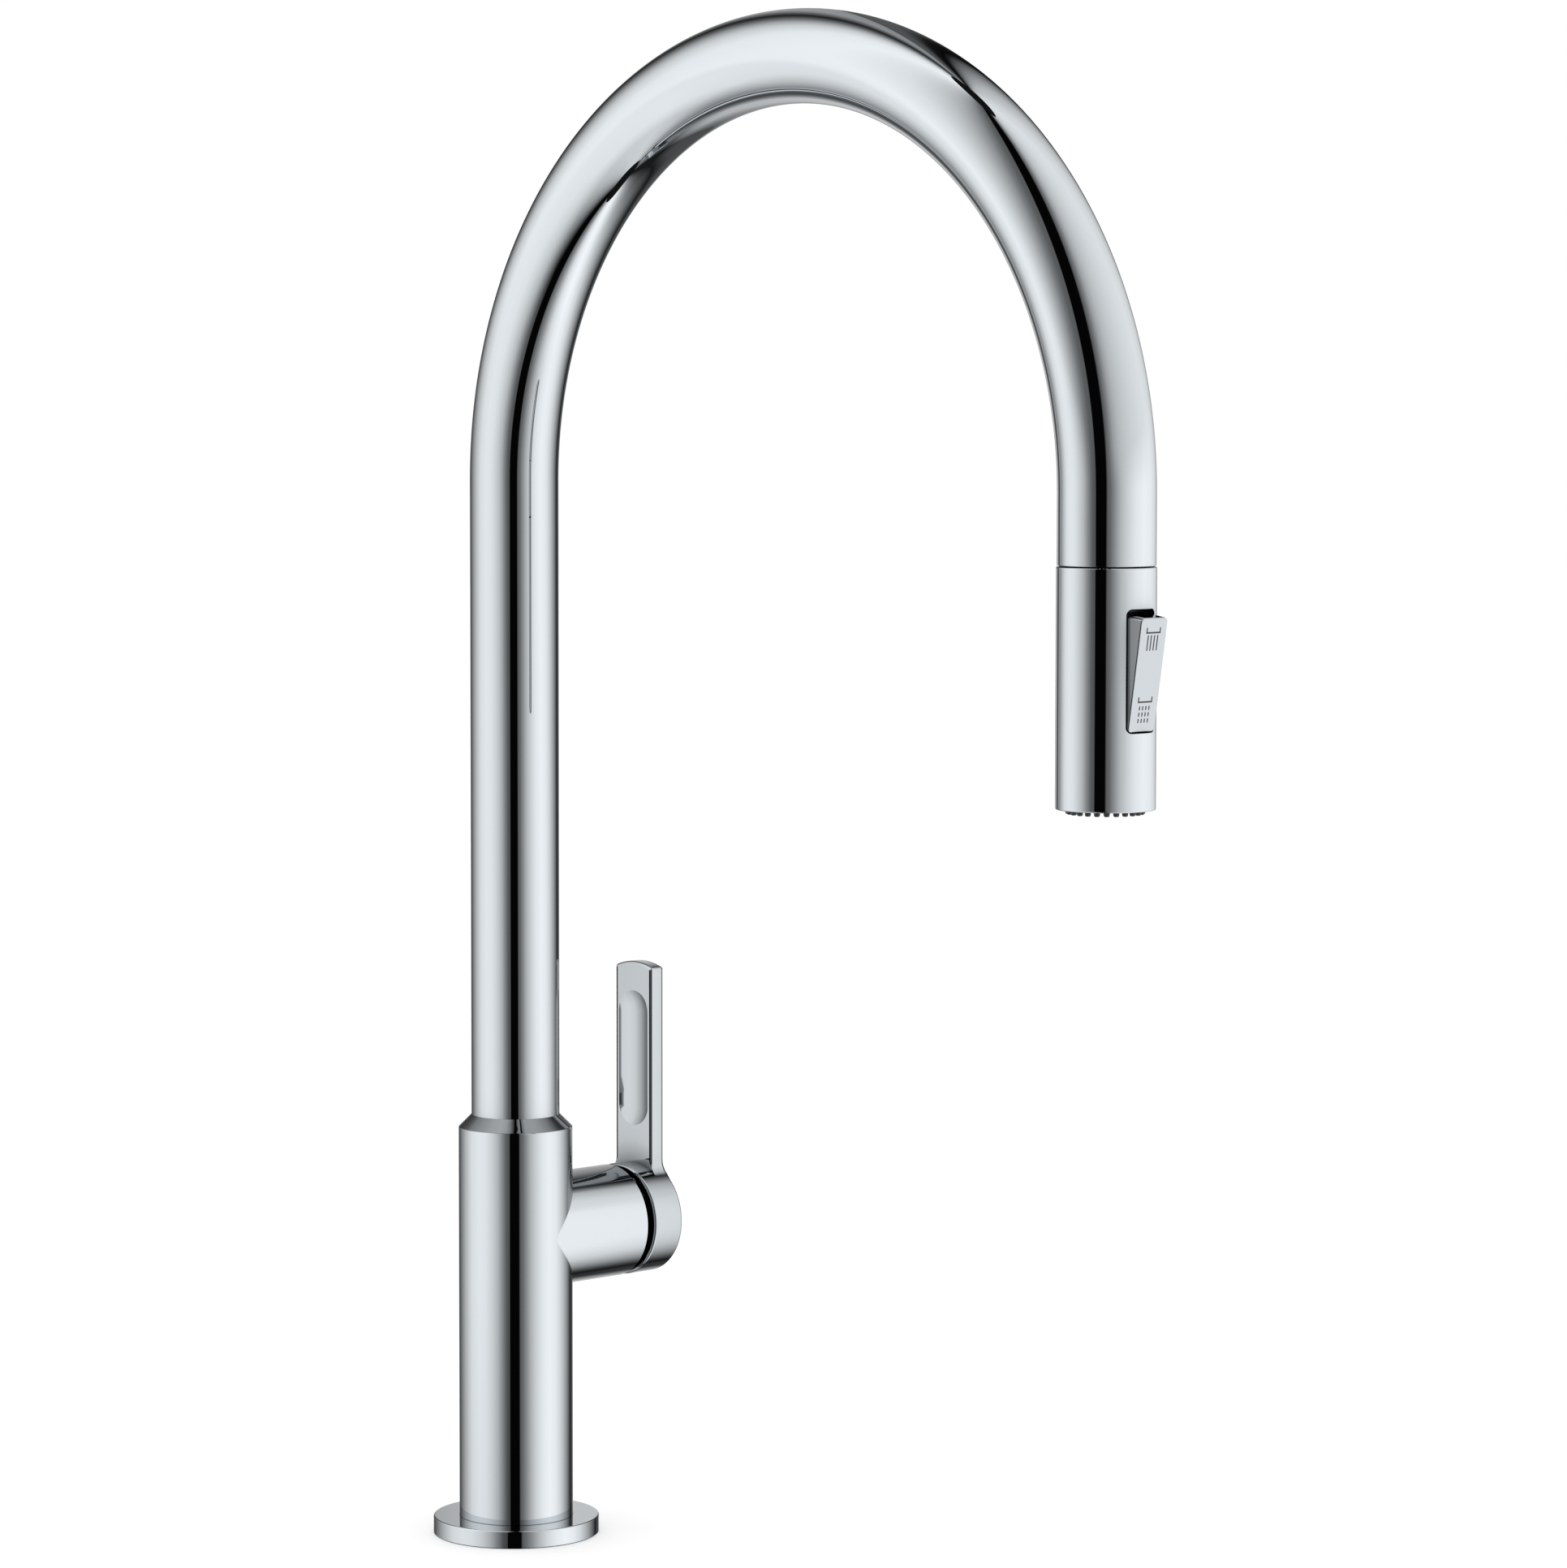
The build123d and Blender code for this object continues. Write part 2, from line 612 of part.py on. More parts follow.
def cartridge_nut():
    body = ring(CARTRIDGE_NUT_R - SEAT, lever_window(BONNET_X), CARTRIDGE_NUT_X, BONNET_X)
    slot_depth = CARTRIDGE_NUT_T / 3
    across = (-CARTRIDGE_NUT_R, CARTRIDGE_NUT_R)
    for turn in (0, 90):
        slot = block(across, (-JACK_SCREW_R, JACK_SCREW_R), (BONNET_X - slot_depth, BONNET_X + 1))
        body -= Rot(0, 0, turn + 45) * slot
    return along_barrel(body)


def bonnet():
    outer = CARTRIDGE_NUT_R - SEAT
    hole = lever_window(BONNET_X + BONNET_T)
    return along_barrel(
        turned(
            [
                (hole, BONNET_X),
                (outer, BONNET_X),
                (outer, BONNET_X + BONNET_T - BONNET_EDGE),
                (outer - BONNET_EDGE, BONNET_X + BONNET_T),
                (hole, BONNET_X + BONNET_T),
            ]
        )
    )


def cartridge_lever():
    flat_end = CARTRIDGE_NUT_X
    body = rod(LEVER_R, PIVOT_X, HUB_X)
    cheeks = (-LEVER_HALF_W, LEVER_HALF_W)
    body &= block((-LEVER_R, LEVER_R), cheeks, (PIVOT_X, flat_end)) + rod(LEVER_R, flat_end, HUB_X)
    boss = Pos(0, 0, PIVOT_X) * Rot(90, 0, 0) * rod(LEVER_BOSS_R, -LEVER_HALF_W, LEVER_HALF_W)
    body += boss
    body += rod(TIP_NECK_R, TIP_X, PIVOT_X)
    body += Pos(0, 0, TIP_X) * Sphere(TIP_R)
    square = Rectangle(SQUARE_W, SQUARE_W)
    body += Pos(0, 0, HUB_X) * extrude(square, HUB_END_X - HUB_X - SEAT)
    pin_hole = Pos(0, 0, PIVOT_X) * Rot(90, 0, 0) * rod(CARRIER_PIN_R + RUN, -TUBE_R, TUBE_R)
    return along_barrel(body - pin_hole)


# Handle


def handle_outline():
    """The handle seen along the barrel: local y is up."""
    disc = Circle(BARREL_R)
    blade = Pos(0, BLADE_RISE / 2) * Rectangle(2 * BLADE_HALF_W, BLADE_RISE)
    crown = Pos(0, BLADE_RISE - BLADE_CROWN_R) * Circle(BLADE_CROWN_R)
    lower = Pos(0, (BLADE_RISE - BLADE_CROWN_R) / 2) * Rectangle(2 * BLADE_HALF_W, BLADE_RISE - BLADE_CROWN_R)
    outline = disc + (blade & (crown + lower))
    root_z = math.sqrt(BARREL_R**2 - BLADE_HALF_W**2)
    roots = outline.vertices().filter_by_position(Axis.Y, root_z - 0.1, root_z + 0.1)
    outline = fillet(roots, BLADE_ROOT_R)
    corner_z = BLADE_RISE - BLADE_CROWN_R + math.sqrt(BLADE_CROWN_R**2 - BLADE_HALF_W**2)
    corners = outline.vertices().filter_by_position(Axis.Y, corner_z - 0.1, corner_z + 0.1)
    return fillet(corners, HANDLE_EDGE)


def scoop():
    """The finger scoop on the inner face of the blade: a round-ended groove with a round bottom."""
    radius = (SCOOP_HALF_W**2 + SCOOP_DEPTH**2) / (2 * SCOOP_DEPTH)
    centre_x = BLADE_X + SCOOP_DEPTH - radius
    low = BARREL_Z + SCOOP_FROM + SCOOP_HALF_W
    high = BARREL_Z + SCOOP_TO - SCOOP_HALF_W
    cut = Pos(centre_x, 0, 0) * rod(radius, low, high)
    return cut + Pos(centre_x, 0, low) * Sphere(radius) + Pos(centre_x, 0, high) * Sphere(radius)


def lever_handle():
    upright = Plane((BLADE_X, 0, BARREL_Z), x_dir=(0, 1, 0), z_dir=(1, 0, 0))
    front = upright * extrude(handle_outline(), BLADE_T)
    front = fillet(front.edges().group_by(Axis.X)[-1], HANDLE_EDGE)
    body = front + along_barrel(rod(BARREL_R, HANDLE_X, BLADE_X))
    body -= along_barrel(rod(BARREL_R - HANDLE_CUP_WALL, HANDLE_X - 1, HUB_END_X))
    body += along_barrel(rod(HUB_R, HUB_X, HUB_END_X + 1))
    boss_end = BARREL_R - HANDLE_CUP_WALL / 2
    y_range = (-HANDLE_BOSS_HALF_W, HANDLE_BOSS_HALF_W)
    body += along_barrel(block((HUB_R / 2, boss_end), y_range, (HANDLE_BOSS_X, HUB_END_X + 1)))
    socket = Rectangle(SQUARE_W + 2 * SQUARE_CLEARANCE, SQUARE_W + 2 * SQUARE_CLEARANCE)
    body -= along_barrel(Pos(0, 0, HUB_X - 1) * extrude(socket, HUB_END_X - HUB_X + 1))
    screw_axis = Pos(HANDLE_SCREW_X, 0, BARREL_Z)
    body -= screw_axis * rod(HANDLE_SCREW_R + SEAT, -BARREL_R - 1, 0)
    body -= screw_axis * rod(PLUG_R + SEAT, -BARREL_R - 1, -BARREL_R + PLUG_T)
    return body - scoop()


def handle_set_screw():
    top = -SQUARE_W / 2 - SEAT
    low = top - HANDLE_SCREW_LEN
    screw = rod(HANDLE_SCREW_R, low, top)
    screw -= Pos(0, 0, low) * extrude(RegularPolygon(HEX_R, 6), HEX_DEPTH)
    return Pos(HANDLE_SCREW_X, 0, BARREL_Z) * screw


def handle_plug():
    crown = BARREL_R - math.sqrt(BARREL_R**2 - PLUG_R**2)
    plug = rod(PLUG_R, -BARREL_R + crown, -BARREL_R + PLUG_T)
    return Pos(HANDLE_SCREW_X, 0, BARREL_Z) * plug


# Spout


def over_arc(section):
    """Sweeps a flat section at the spring line over the spout's half circle."""
    hub = Axis((0, -ARC_R, SPRING_Z), (1, 0, 0))
    return revolve(Pos(0, 0, SPRING_Z) * section, hub, revolution_arc=180)


def spout_tube():
    groove_low = LOCK_Z - LOCK_GROOVE_W / 2
    groove_high = LOCK_Z + LOCK_GROOVE_W / 2
    groove_r = TUBE_R - LOCK_GROOVE_DEPTH
    body = turned(
        [
            (TUBE_BORE_R, FOOT_Z),
            (TUBE_R, FOOT_Z),
            (TUBE_R, groove_low),
            (groove_r, groove_low),
            (groove_r, groove_high),
            (TUBE_R, groove_high),
            (TUBE_R, SPRING_Z),
            (TUBE_BORE_R, SPRING_Z),
        ]
    )
    body += over_arc(Circle(TUBE_R) - Circle(TUBE_BORE_R))
    return body + on_head(ring(TUBE_R, TUBE_BORE_R, NECK_END_Z, SPRING_Z))


def spout_friction_rings():
    """Two rubber rings between the bushes, that seal and steady the tube."""
    room = UPPER_BUSH_Z - LOWER_BUSH_Z - BUSH_H
    major = TUBE_R + RUN + RING_MINOR_R
    heights = [LOWER_BUSH_Z + BUSH_H + room * share for share in (0.25, 0.75)]
    return Compound([Pos(0, 0, z) * Torus(major, RING_MINOR_R) for z in heights])


def dock_bushing():
    """The plastic guide in the neck's end, with a funnel at its mouth."""
    funnel = TUBE_WALL
    return on_head(
        turned(
            [
                (DOCK_R + funnel, NECK_END_Z),
                (TUBE_BORE_R - SEAT, NECK_END_Z),
                (TUBE_BORE_R - SEAT, NECK_END_Z + DOCK_H),
                (DOCK_R, NECK_END_Z + DOCK_H),
                (DOCK_R, NECK_END_Z + funnel),
            ]
        )
    )


# Hose


def hose_section():
    return Circle(HOSE_R) - Circle(HOSE_BORE_R)


def hose_in_arc():
    straight = ring(HOSE_R, HOSE_BORE_R, HOSE_SPLIT_Z + HOSE_JOIN_GAP, SPRING_Z)
    return straight + over_arc(hose_section())


def hose_in_column():
    """Rises straight beside the valve core, then bends onto the column's axis."""
    foot = Vector(HOSE_X, 0, HOSE_END_Z)
    bend = Vector(HOSE_X, 0, HOSE_BEND_Z)
    middle = Vector(HOSE_X / 2, 0, HOSE_BEND_Z + HOSE_BEND_H / 2)
    top = Vector(0, 0, HOSE_SPLIT_Z)
    run = Line(foot, bend)
    first = TangentArc(bend, middle, tangent=(0, 0, 1))
    second = TangentArc(middle, top, tangent=first % 1)
    path = Wire([run, first, second])
    return sweep(Pos(*foot) * hose_section(), path)


def hose_coupling():
    """The connector on the hose's lower end, with a hexagon for a spanner."""
    low = HOSE_END_Z - COUPLING_LEN
    middle = HOSE_END_Z - COUPLING_LEN / 2
    body = rod(COUPLING_R, middle, HOSE_END_Z)
    body += Pos(0, 0, low) * extrude(RegularPolygon(COUPLING_R, 6), COUPLING_LEN / 2)
    return Pos(HOSE_X, 0, 0) * (body - rod(HOSE_BORE_R, low - 1, HOSE_END_Z + 1))


def hose_outlet_run():
    return on_head(ring(HOSE_R, HOSE_BORE_R, HOSE_START_Z, SPRING_Z))


def hose_ferrule():
    return on_head(ring(FERRULE_R, TAIL_R + SEAT, FERRULE_Z, HOSE_START_Z))


def hose_end_fitting():
    ring_z = (FITTING_BOTTOM_Z + FITTING_TOP_Z) / 2
    groove_r = FITTING_R - 2 * END_RING_MINOR_R
    groove_half = END_RING_MINOR_R + RUN
    neck_r = FERRULE_R - TUBE_WALL
    return on_head(
        turned(
            [
                (FITTING_BORE_R, FITTING_BOTTOM_Z),
                (FITTING_R, FITTING_BOTTOM_Z),
                (FITTING_R, ring_z - groove_half),
                (groove_r, ring_z - groove_half),
                (groove_r, ring_z + groove_half),
                (FITTING_R, ring_z + groove_half),
                (FITTING_R, FITTING_TOP_Z),
                (FLANGE_R, FITTING_TOP_Z),
                (FLANGE_R, INNER_TOP_Z - 2 * RUN),
                (neck_r, INNER_TOP_Z - 2 * RUN),
                (neck_r, FERRULE_Z),
                (TAIL_R, FERRULE_Z),
                (TAIL_R, HOSE_START_Z - TUBE_WALL),
                (FITTING_BORE_R, HOSE_START_Z - TUBE_WALL),
            ]
        )
    )


def hose_end_ring():
    ring_z = (FITTING_BOTTOM_Z + FITTING_TOP_Z) / 2
    major = FITTING_R - END_RING_MINOR_R
    return on_head(Pos(0, 0, ring_z) * Torus(major, END_RING_MINOR_R))


# Spray head


def head_shell():
    body = ring(HEAD_R, HEAD_BORE_R, HEAD_BOTTOM_Z, HEAD_TOP_Z)
    outer_edges = body.edges().filter_by(GeomType.CIRCLE).group_by(SortBy.RADIUS)[-1]
    body = fillet(outer_edges, HEAD_EDGE)
    window = RectangleRounded(2 * ROCKER_SLOT_HALF_W, 2 * ROCKER_SLOT_HALF_H, ROCKER_SLOT_CORNER_R)
    slot = Pos(0, 0, ROCKER_Z) * Rot(90, 0, 0) * extrude(window, HEAD_R + 1)
    return on_head(body - slot)


def head_collar():
    """The ring that traps the hose end's flange, with the spigot that docks in the spout's neck."""
    bore = FERRULE_R + SOFT
    spigot_r = DOCK_R - SOFT
    return on_head(
        turned(
            [
                (bore, INNER_TOP_Z),
                (INNER_R, INNER_TOP_Z),
                (INNER_R, HEAD_TOP_Z),
                (spigot_r, HEAD_TOP_Z),
                (spigot_r, HEAD_TOP_Z + SPIGOT_H - HEAD_EDGE),
                (spigot_r - HEAD_EDGE, HEAD_TOP_Z + SPIGOT_H),
                (bore, HEAD_TOP_Z + SPIGOT_H),
            ]
        )
    )


def head_inner_body():
    body = on_head(rod(INNER_R, INNER_BOTTOM_Z, INNER_TOP_Z))
    body -= on_head(rod(FLANGE_R + RUN, FITTING_TOP_Z - RUN, INNER_TOP_Z + 1))
    body -= on_head(rod(FITTING_R + RUN, FITTING_BOTTOM_Z - RUN, INNER_TOP_Z))
    body -= on_head(rod(CHECK_VALVE_R + SEAT, CHECK_VALVE_Z, FITTING_TOP_Z))
    body -= passage(PASSAGE_R, SUPPLY_RHO, SPOOL_Z, CHECK_VALVE_Z + 1)
    pocket_half_h = ROCKER_SLOT_HALF_H + FREE
    pocket_z = (ROCKER_Z - pocket_half_h, ROCKER_Z + POCKET_SHOULDER_H)
    body -= rho_block(POCKET_HALF_W, (POCKET_RHO, HEAD_R), pocket_z)
    shoulder_z = (ROCKER_Z, ROCKER_Z + pocket_half_h)
    body -= rho_block(POCKET_HALF_W, (POCKET_SHOULDER_RHO, HEAD_R), shoulder_z)
    relief_z = (SPOOL_Z - RELIEF_HALF_H, SPOOL_Z + RELIEF_HALF_H)
    body -= rho_block(RELIEF_HALF_W, (RELIEF_RHO, HEAD_R), relief_z)
    body -= rho_rod(SPOOL_R + TIP_CLEARANCE, SPOOL_BORE_RHO, HEAD_R, SPOOL_Z)
    body -= passage(PASSAGE_R, STREAM_RHO, INNER_BOTTOM_Z, SPOOL_Z)
    body -= passage(PASSAGE_R, SPRAY_RHO, INNER_BOTTOM_Z, SPOOL_Z)
    body -= on_head(rod(AERATOR_R + SEAT, INNER_BOTTOM_Z - 1, INNER_BOTTOM_Z + CHAMBER_H))
    chamber_in = AERATOR_R + AERATOR_WALL
    chamber_out = INNER_R - FACE_SEAL_W
    body -= on_head(ring(chamber_out, chamber_in, INNER_BOTTOM_Z - 1, INNER_BOTTOM_Z + CHAMBER_H))
    pin_hole = Rot(0, 90, 0) * rod(ROCKER_PIN_R, -HEAD_R, HEAD_R)
    return body - Pos(0, -REACH - ROCKER_PIVOT_RHO, ROCKER_Z) * pin_hole


def check_valve():
    """A small one-way valve under the hose end: a ring with a poppet on three arms."""
    body = ring(CHECK_VALVE_R, CHECK_VALVE_R - AERATOR_WALL, CHECK_VALVE_Z, CHECK_VALVE_Z + CHECK_VALVE_H)
    poppet = rod(FITTING_BORE_R, CHECK_VALVE_Z + AERATOR_WALL, CHECK_VALVE_Z + CHECK_VALVE_H)
    arm_half_w = AERATOR_WALL / 2
    arm = block(
        (0, CHECK_VALVE_R - AERATOR_WALL / 2),
        (-arm_half_w, arm_half_w),
        (CHECK_VALVE_Z + AERATOR_WALL, CHECK_VALVE_Z + CHECK_VALVE_H / 2),
    )
    body += poppet
    for turn in range(3):
        body += Rot(0, 0, 120 * turn) * arm
    return on_head(body)


def face_seal():
    return on_head(ring(INNER_R, INNER_R - FACE_SEAL_W, FACE_SEAL_Z, INNER_BOTTOM_Z))


def nub_places():
    return [Rot(0, 0, 360 * k / NUB_COUNT) * Pos(NUB_CIRCLE_R, 0, 0) for k in range(NUB_COUNT)]


def nozzle_plate():
    plate = ring(INNER_R, AERATOR_R + SEAT, PLATE_Z, MAT_Z)
    for place in nub_places():
        plate -= place * rod(NUB_R + SEAT, PLATE_Z - 1, MAT_Z + 1)
    return on_head(plate)


def silicone_nozzles():
    """One silicone mat with a ring of nubs that pass through the plate."""
    mat = ring(INNER_R, AERATOR_R + AERATOR_WALL, MAT_Z, FACE_SEAL_Z)
    tip_z = HEAD_BOTTOM_Z - NUB_DROP
    for place in nub_places():
        mat += place * rod(NUB_R, tip_z, MAT_Z + MAT_T / 2)
    for place in nub_places():
        mat -= place * rod(NUB_HOLE_R, tip_z - 1, FACE_SEAL_Z + 1)
    return on_head(mat)


def aerator_housing():
    body = ring(AERATOR_R, AERATOR_R - AERATOR_WALL, AERATOR_Z, AERATOR_TOP_Z)
    lip = ring(AERATOR_R, AERATOR_R - 1.6 * AERATOR_WALL, AERATOR_Z, AERATOR_Z + SCREEN_T)
    return on_head(body + lip)


def aerator_screens():
    first = AERATOR_Z + SCREEN_T
    heights = [first + SCREEN_PITCH * k for k in range(SCREEN_COUNT)]
    radius = AERATOR_R - AERATOR_WALL - SEAT / 2
    return Compound([on_head(rod(radius, z, z + SCREEN_T)) for z in heights])


# Rocker and spool


def rocker_pin():
    half = math.sqrt(INNER_R**2 - (ROCKER_PIVOT_RHO + ROCKER_PIN_R) ** 2) - SEAT
    pin = Rot(0, 90, 0) * rod(ROCKER_PIN_R, -half, half)
    return Pos(0, -REACH - ROCKER_PIVOT_RHO, ROCKER_Z) * pin


def rocker_button():
    """Made upright about its pivot, with -Y outwards, then tipped to its rest pose."""
    side = (-ROCKER_HALF_W, ROCKER_HALF_W)
    body = block(side, (-ROCKER_FACE, -ROCKER_BACK), (-ROCKER_HALF_H, ROCKER_HALF_H))
    heels = body.edges().filter_by(Axis.X).group_by(Axis.Y)[-1]
    body = chamfer(heels, ROCKER_HEEL)
    corners = body.edges().filter_by(Axis.Y)
    body = fillet(corners, ROCKER_SLOT_CORNER_R - SOFT)
    front = body.edges().group_by(Axis.Y)[0]
    body = fillet(front, HEAD_EDGE)
    body += Rot(0, 90, 0) * rod(ROCKER_BOSS_R, -ROCKER_HALF_W, ROCKER_HALF_W)
    fork_z = (SPOOL_ARM - FORK_HALF_H, SPOOL_ARM + FORK_HALF_H)
    fork_in = -FORK_V - FORK_T / 2
    fork_out = -FORK_V + FORK_T / 2
    fork = block((-FORK_HALF_W, FORK_HALF_W), (-ROCKER_BACK - FORK_T / 2, fork_out), fork_z)
    fork -= block((-STRUT_HALF_GAP, STRUT_HALF_GAP), (-ROCKER_BACK, fork_in), fork_z)
    fork -= block((-FORK_SLOT_HALF_W, FORK_SLOT_HALF_W), (fork_in - 1, fork_out + 1), fork_z)
    body += fork
    body -= Rot(0, 90, 0) * rod(ROCKER_PIN_R + RUN, -HEAD_R, HEAD_R)
    return Pos(0, -REACH - ROCKER_PIVOT_RHO, ROCKER_Z) * Rot(ROCKER_TILT, 0, 0) * body


def diverter_spool():
    land = rho_rod(SPOOL_R, SPOOL_END_RHO, SPOOL_NECK_FROM, SPOOL_Z)
    groove_r = SPOOL_R - 2 * SPOOL_RING_MINOR_R
    for rho in spool_ring_rhos():
        low = rho - SPOOL_RING_MINOR_R - RUN
        high = rho + SPOOL_RING_MINOR_R + RUN
        land -= rho_rod(SPOOL_R + 1, low, high, SPOOL_Z) - rho_rod(groove_r, low - 1, high + 1, SPOOL_Z)
    low = SPOOL_END_RHO + SPOOL_INNER_LAND
    high = low + SPOOL_WAIST_LEN
    land -= rho_rod(SPOOL_R + 1, low, high, SPOOL_Z) - rho_rod(SPOOL_NECK_R, low - 1, high + 1, SPOOL_Z)
    neck_end = SPOOL_NECK_FROM + SPOOL_NECK_LEN
    neck = rho_rod(SPOOL_NECK_R, SPOOL_NECK_FROM - 1, neck_end, SPOOL_Z)
    return land + neck + rho_rod(SPOOL_CAP_R, neck_end, neck_end + SPOOL_CAP_T, SPOOL_Z)


def spool_ring_rhos():
    return [SPOOL_END_RHO + SPOOL_INNER_LAND / 2, RELIEF_RHO - SPOOL_RING_SETBACK]


def spool_rings():
    major = SPOOL_R - SPOOL_RING_MINOR_R
    torus = Rot(90, 0, 0) * Torus(major, SPOOL_RING_MINOR_R)
    return Compound([Pos(0, -REACH - rho, SPOOL_Z) * torus for rho in spool_ring_rhos()])


PARTS = {
    "base_ring": base_ring,
    "base_gasket": base_gasket,
    "centering_collar": centering_collar,
    "mounting_shank": mounting_shank,
    "deck_washer_rubber": deck_washer_rubber,
    "deck_washer_steel": deck_washer_steel,
    "mounting_nut": mounting_nut,
    "nut_jack_screws": nut_jack_screws,
    "body_column": body_column,
    "column_set_screws": column_set_screws,
    "valve_core": valve_core,
    "spout_bush_lower": lambda: bush(LOWER_BUSH_Z),
    "spout_bush_upper": lambda: bush(UPPER_BUSH_Z),
    "cartridge_seals": cartridge_seals,
    "cartridge_base": cartridge_base,
    "cartridge_housing": cartridge_housing,
    "fixed_disc": fixed_disc,
    "moving_disc": moving_disc,
    "disc_coupler": disc_coupler,
    "cartridge_carrier": cartridge_carrier,
    "carrier_pin": carrier_pin,
    "cartridge_lever": cartridge_lever,
    "cartridge_nut": cartridge_nut,
    "bonnet": bonnet,
    "lever_handle": lever_handle,
    "handle_set_screw": handle_set_screw,
    "handle_plug": handle_plug,
    "spout_tube": spout_tube,
    "spout_friction_rings": spout_friction_rings,
    "dock_bushing": dock_bushing,
    "hose_in_arc": hose_in_arc,
    "hose_in_column": hose_in_column,
    "hose_coupling": hose_coupling,
    "hose_outlet_run": hose_outlet_run,
    "hose_ferrule": hose_ferrule,
    "hose_end_fitting": hose_end_fitting,
    "hose_end_ring": hose_end_ring,
    "head_shell": head_shell,
    "head_collar": head_collar,
    "head_inner_body": head_inner_body,
    "check_valve": check_valve,
    "face_seal": face_seal,
    "nozzle_plate": nozzle_plate,
    "silicone_nozzles": silicone_nozzles,
    "aerator_housing": aerator_housing,
    "aerator_screens": aerator_screens,
    "rocker_pin": rocker_pin,
    "rocker_button": rocker_button,
    "diverter_spool": diverter_spool,
    "spool_rings": spool_rings,
}

for node, make in PARTS.items():
    save(make(), node)
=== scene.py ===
"""A high-arc pull down kitchen faucet in chrome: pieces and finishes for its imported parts."""

import json
import math

import bpy
from bpy.props import FloatProperty, FloatVectorProperty, IntProperty, PointerProperty
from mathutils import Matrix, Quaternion, Vector

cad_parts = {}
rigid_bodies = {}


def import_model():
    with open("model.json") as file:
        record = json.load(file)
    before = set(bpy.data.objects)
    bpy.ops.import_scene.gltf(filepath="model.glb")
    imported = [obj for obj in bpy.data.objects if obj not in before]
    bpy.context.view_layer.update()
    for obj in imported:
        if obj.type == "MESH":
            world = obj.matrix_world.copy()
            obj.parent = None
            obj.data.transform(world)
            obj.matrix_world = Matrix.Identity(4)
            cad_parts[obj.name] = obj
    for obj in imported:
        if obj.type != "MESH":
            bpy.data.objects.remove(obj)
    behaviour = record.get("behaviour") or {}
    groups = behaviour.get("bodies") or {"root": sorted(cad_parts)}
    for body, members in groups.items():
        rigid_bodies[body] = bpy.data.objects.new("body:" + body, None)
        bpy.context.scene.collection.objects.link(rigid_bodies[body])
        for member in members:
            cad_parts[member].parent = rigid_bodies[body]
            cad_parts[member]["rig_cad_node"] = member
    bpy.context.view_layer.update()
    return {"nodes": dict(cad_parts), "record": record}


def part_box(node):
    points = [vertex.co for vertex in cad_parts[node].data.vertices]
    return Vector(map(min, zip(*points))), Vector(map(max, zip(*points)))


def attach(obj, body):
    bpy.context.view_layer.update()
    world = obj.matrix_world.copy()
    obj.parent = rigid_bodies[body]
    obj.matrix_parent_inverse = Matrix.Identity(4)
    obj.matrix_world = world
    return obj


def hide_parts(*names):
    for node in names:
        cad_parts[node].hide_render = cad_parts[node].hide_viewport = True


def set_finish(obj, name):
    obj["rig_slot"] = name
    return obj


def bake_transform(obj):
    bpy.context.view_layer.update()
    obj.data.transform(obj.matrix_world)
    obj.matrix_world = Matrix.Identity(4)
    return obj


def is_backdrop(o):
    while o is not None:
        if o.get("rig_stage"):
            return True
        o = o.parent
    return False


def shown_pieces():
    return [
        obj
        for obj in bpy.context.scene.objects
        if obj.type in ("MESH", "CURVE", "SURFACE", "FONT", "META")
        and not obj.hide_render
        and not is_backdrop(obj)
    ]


bl_info = {
    "name": "Pull Down Kitchen Faucet",
    "version": (1, 0, 0),
    "blender": (4, 5, 0),
    "location": "View3D > Sidebar > Faucet",
    "description": "Models the outer pieces of a pull down kitchen faucet and its finishes",
    "category": "Add Mesh",
}

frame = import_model()

MM = 0.001
FULL_TURN = 2 * math.pi
NEAR = MM / 100  # places that lie this close count as one
FIT_PLAY = 0.05 * MM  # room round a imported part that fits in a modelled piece

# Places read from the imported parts
TUBE_LOW, TUBE_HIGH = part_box("spout_tube")
RING_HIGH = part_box("base_ring")[1]
HEAD_LOW, HEAD_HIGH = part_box("head_shell")
SHANK_LOW, SHANK_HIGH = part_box("mounting_shank")
HOSE_LOW, HOSE_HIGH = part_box("hose_outlet_run")
MAT_LOW, MAT_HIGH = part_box("silicone_nozzles")
SCREEN_LOW, SCREEN_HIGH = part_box("aerator_screens")
LEVER_LOW, LEVER_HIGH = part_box("lever_handle")
COLUMN_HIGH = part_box("body_column")[1]
ROCKER_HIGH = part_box("rocker_button")[1]
TUBE_R = TUBE_HIGH.x
HEAD_Y = (HEAD_LOW.y + HEAD_HIGH.y) / 2
ARC_R = -HEAD_Y / 2
SPRING_Z = HOSE_HIGH.z
DISC_R = LEVER_HIGH.y
AXLE_Z = LEVER_LOW.z + DISC_R
COLUMN_R = COLUMN_HIGH.y
ROCKER_HALF_W = ROCKER_HIGH.x
SEAM_GAP = 0.3 * MM


# Modelling steps that several pieces share


def set_mode(mode):
    bpy.ops.object.mode_set(mode=mode)


def clear_selection():
    """Leaves object mode with nothing selected, so that an operator acts on its own piece alone."""
    if bpy.context.object and bpy.context.object.mode != "OBJECT":
        set_mode("OBJECT")
    bpy.ops.object.select_all(action="DESELECT")


def take_up(piece):
    """Selects one piece and makes it the active one."""
    clear_selection()
    piece.select_set(True)
    bpy.context.view_layer.objects.active = piece
    return piece


def name_piece(name):
    piece = bpy.context.object
    piece.name = name
    piece.data.name = name
    return piece


def edit_all():
    """Goes into edit mode with the whole mesh selected."""
    set_mode("EDIT")
    bpy.ops.mesh.select_all(action="SELECT")


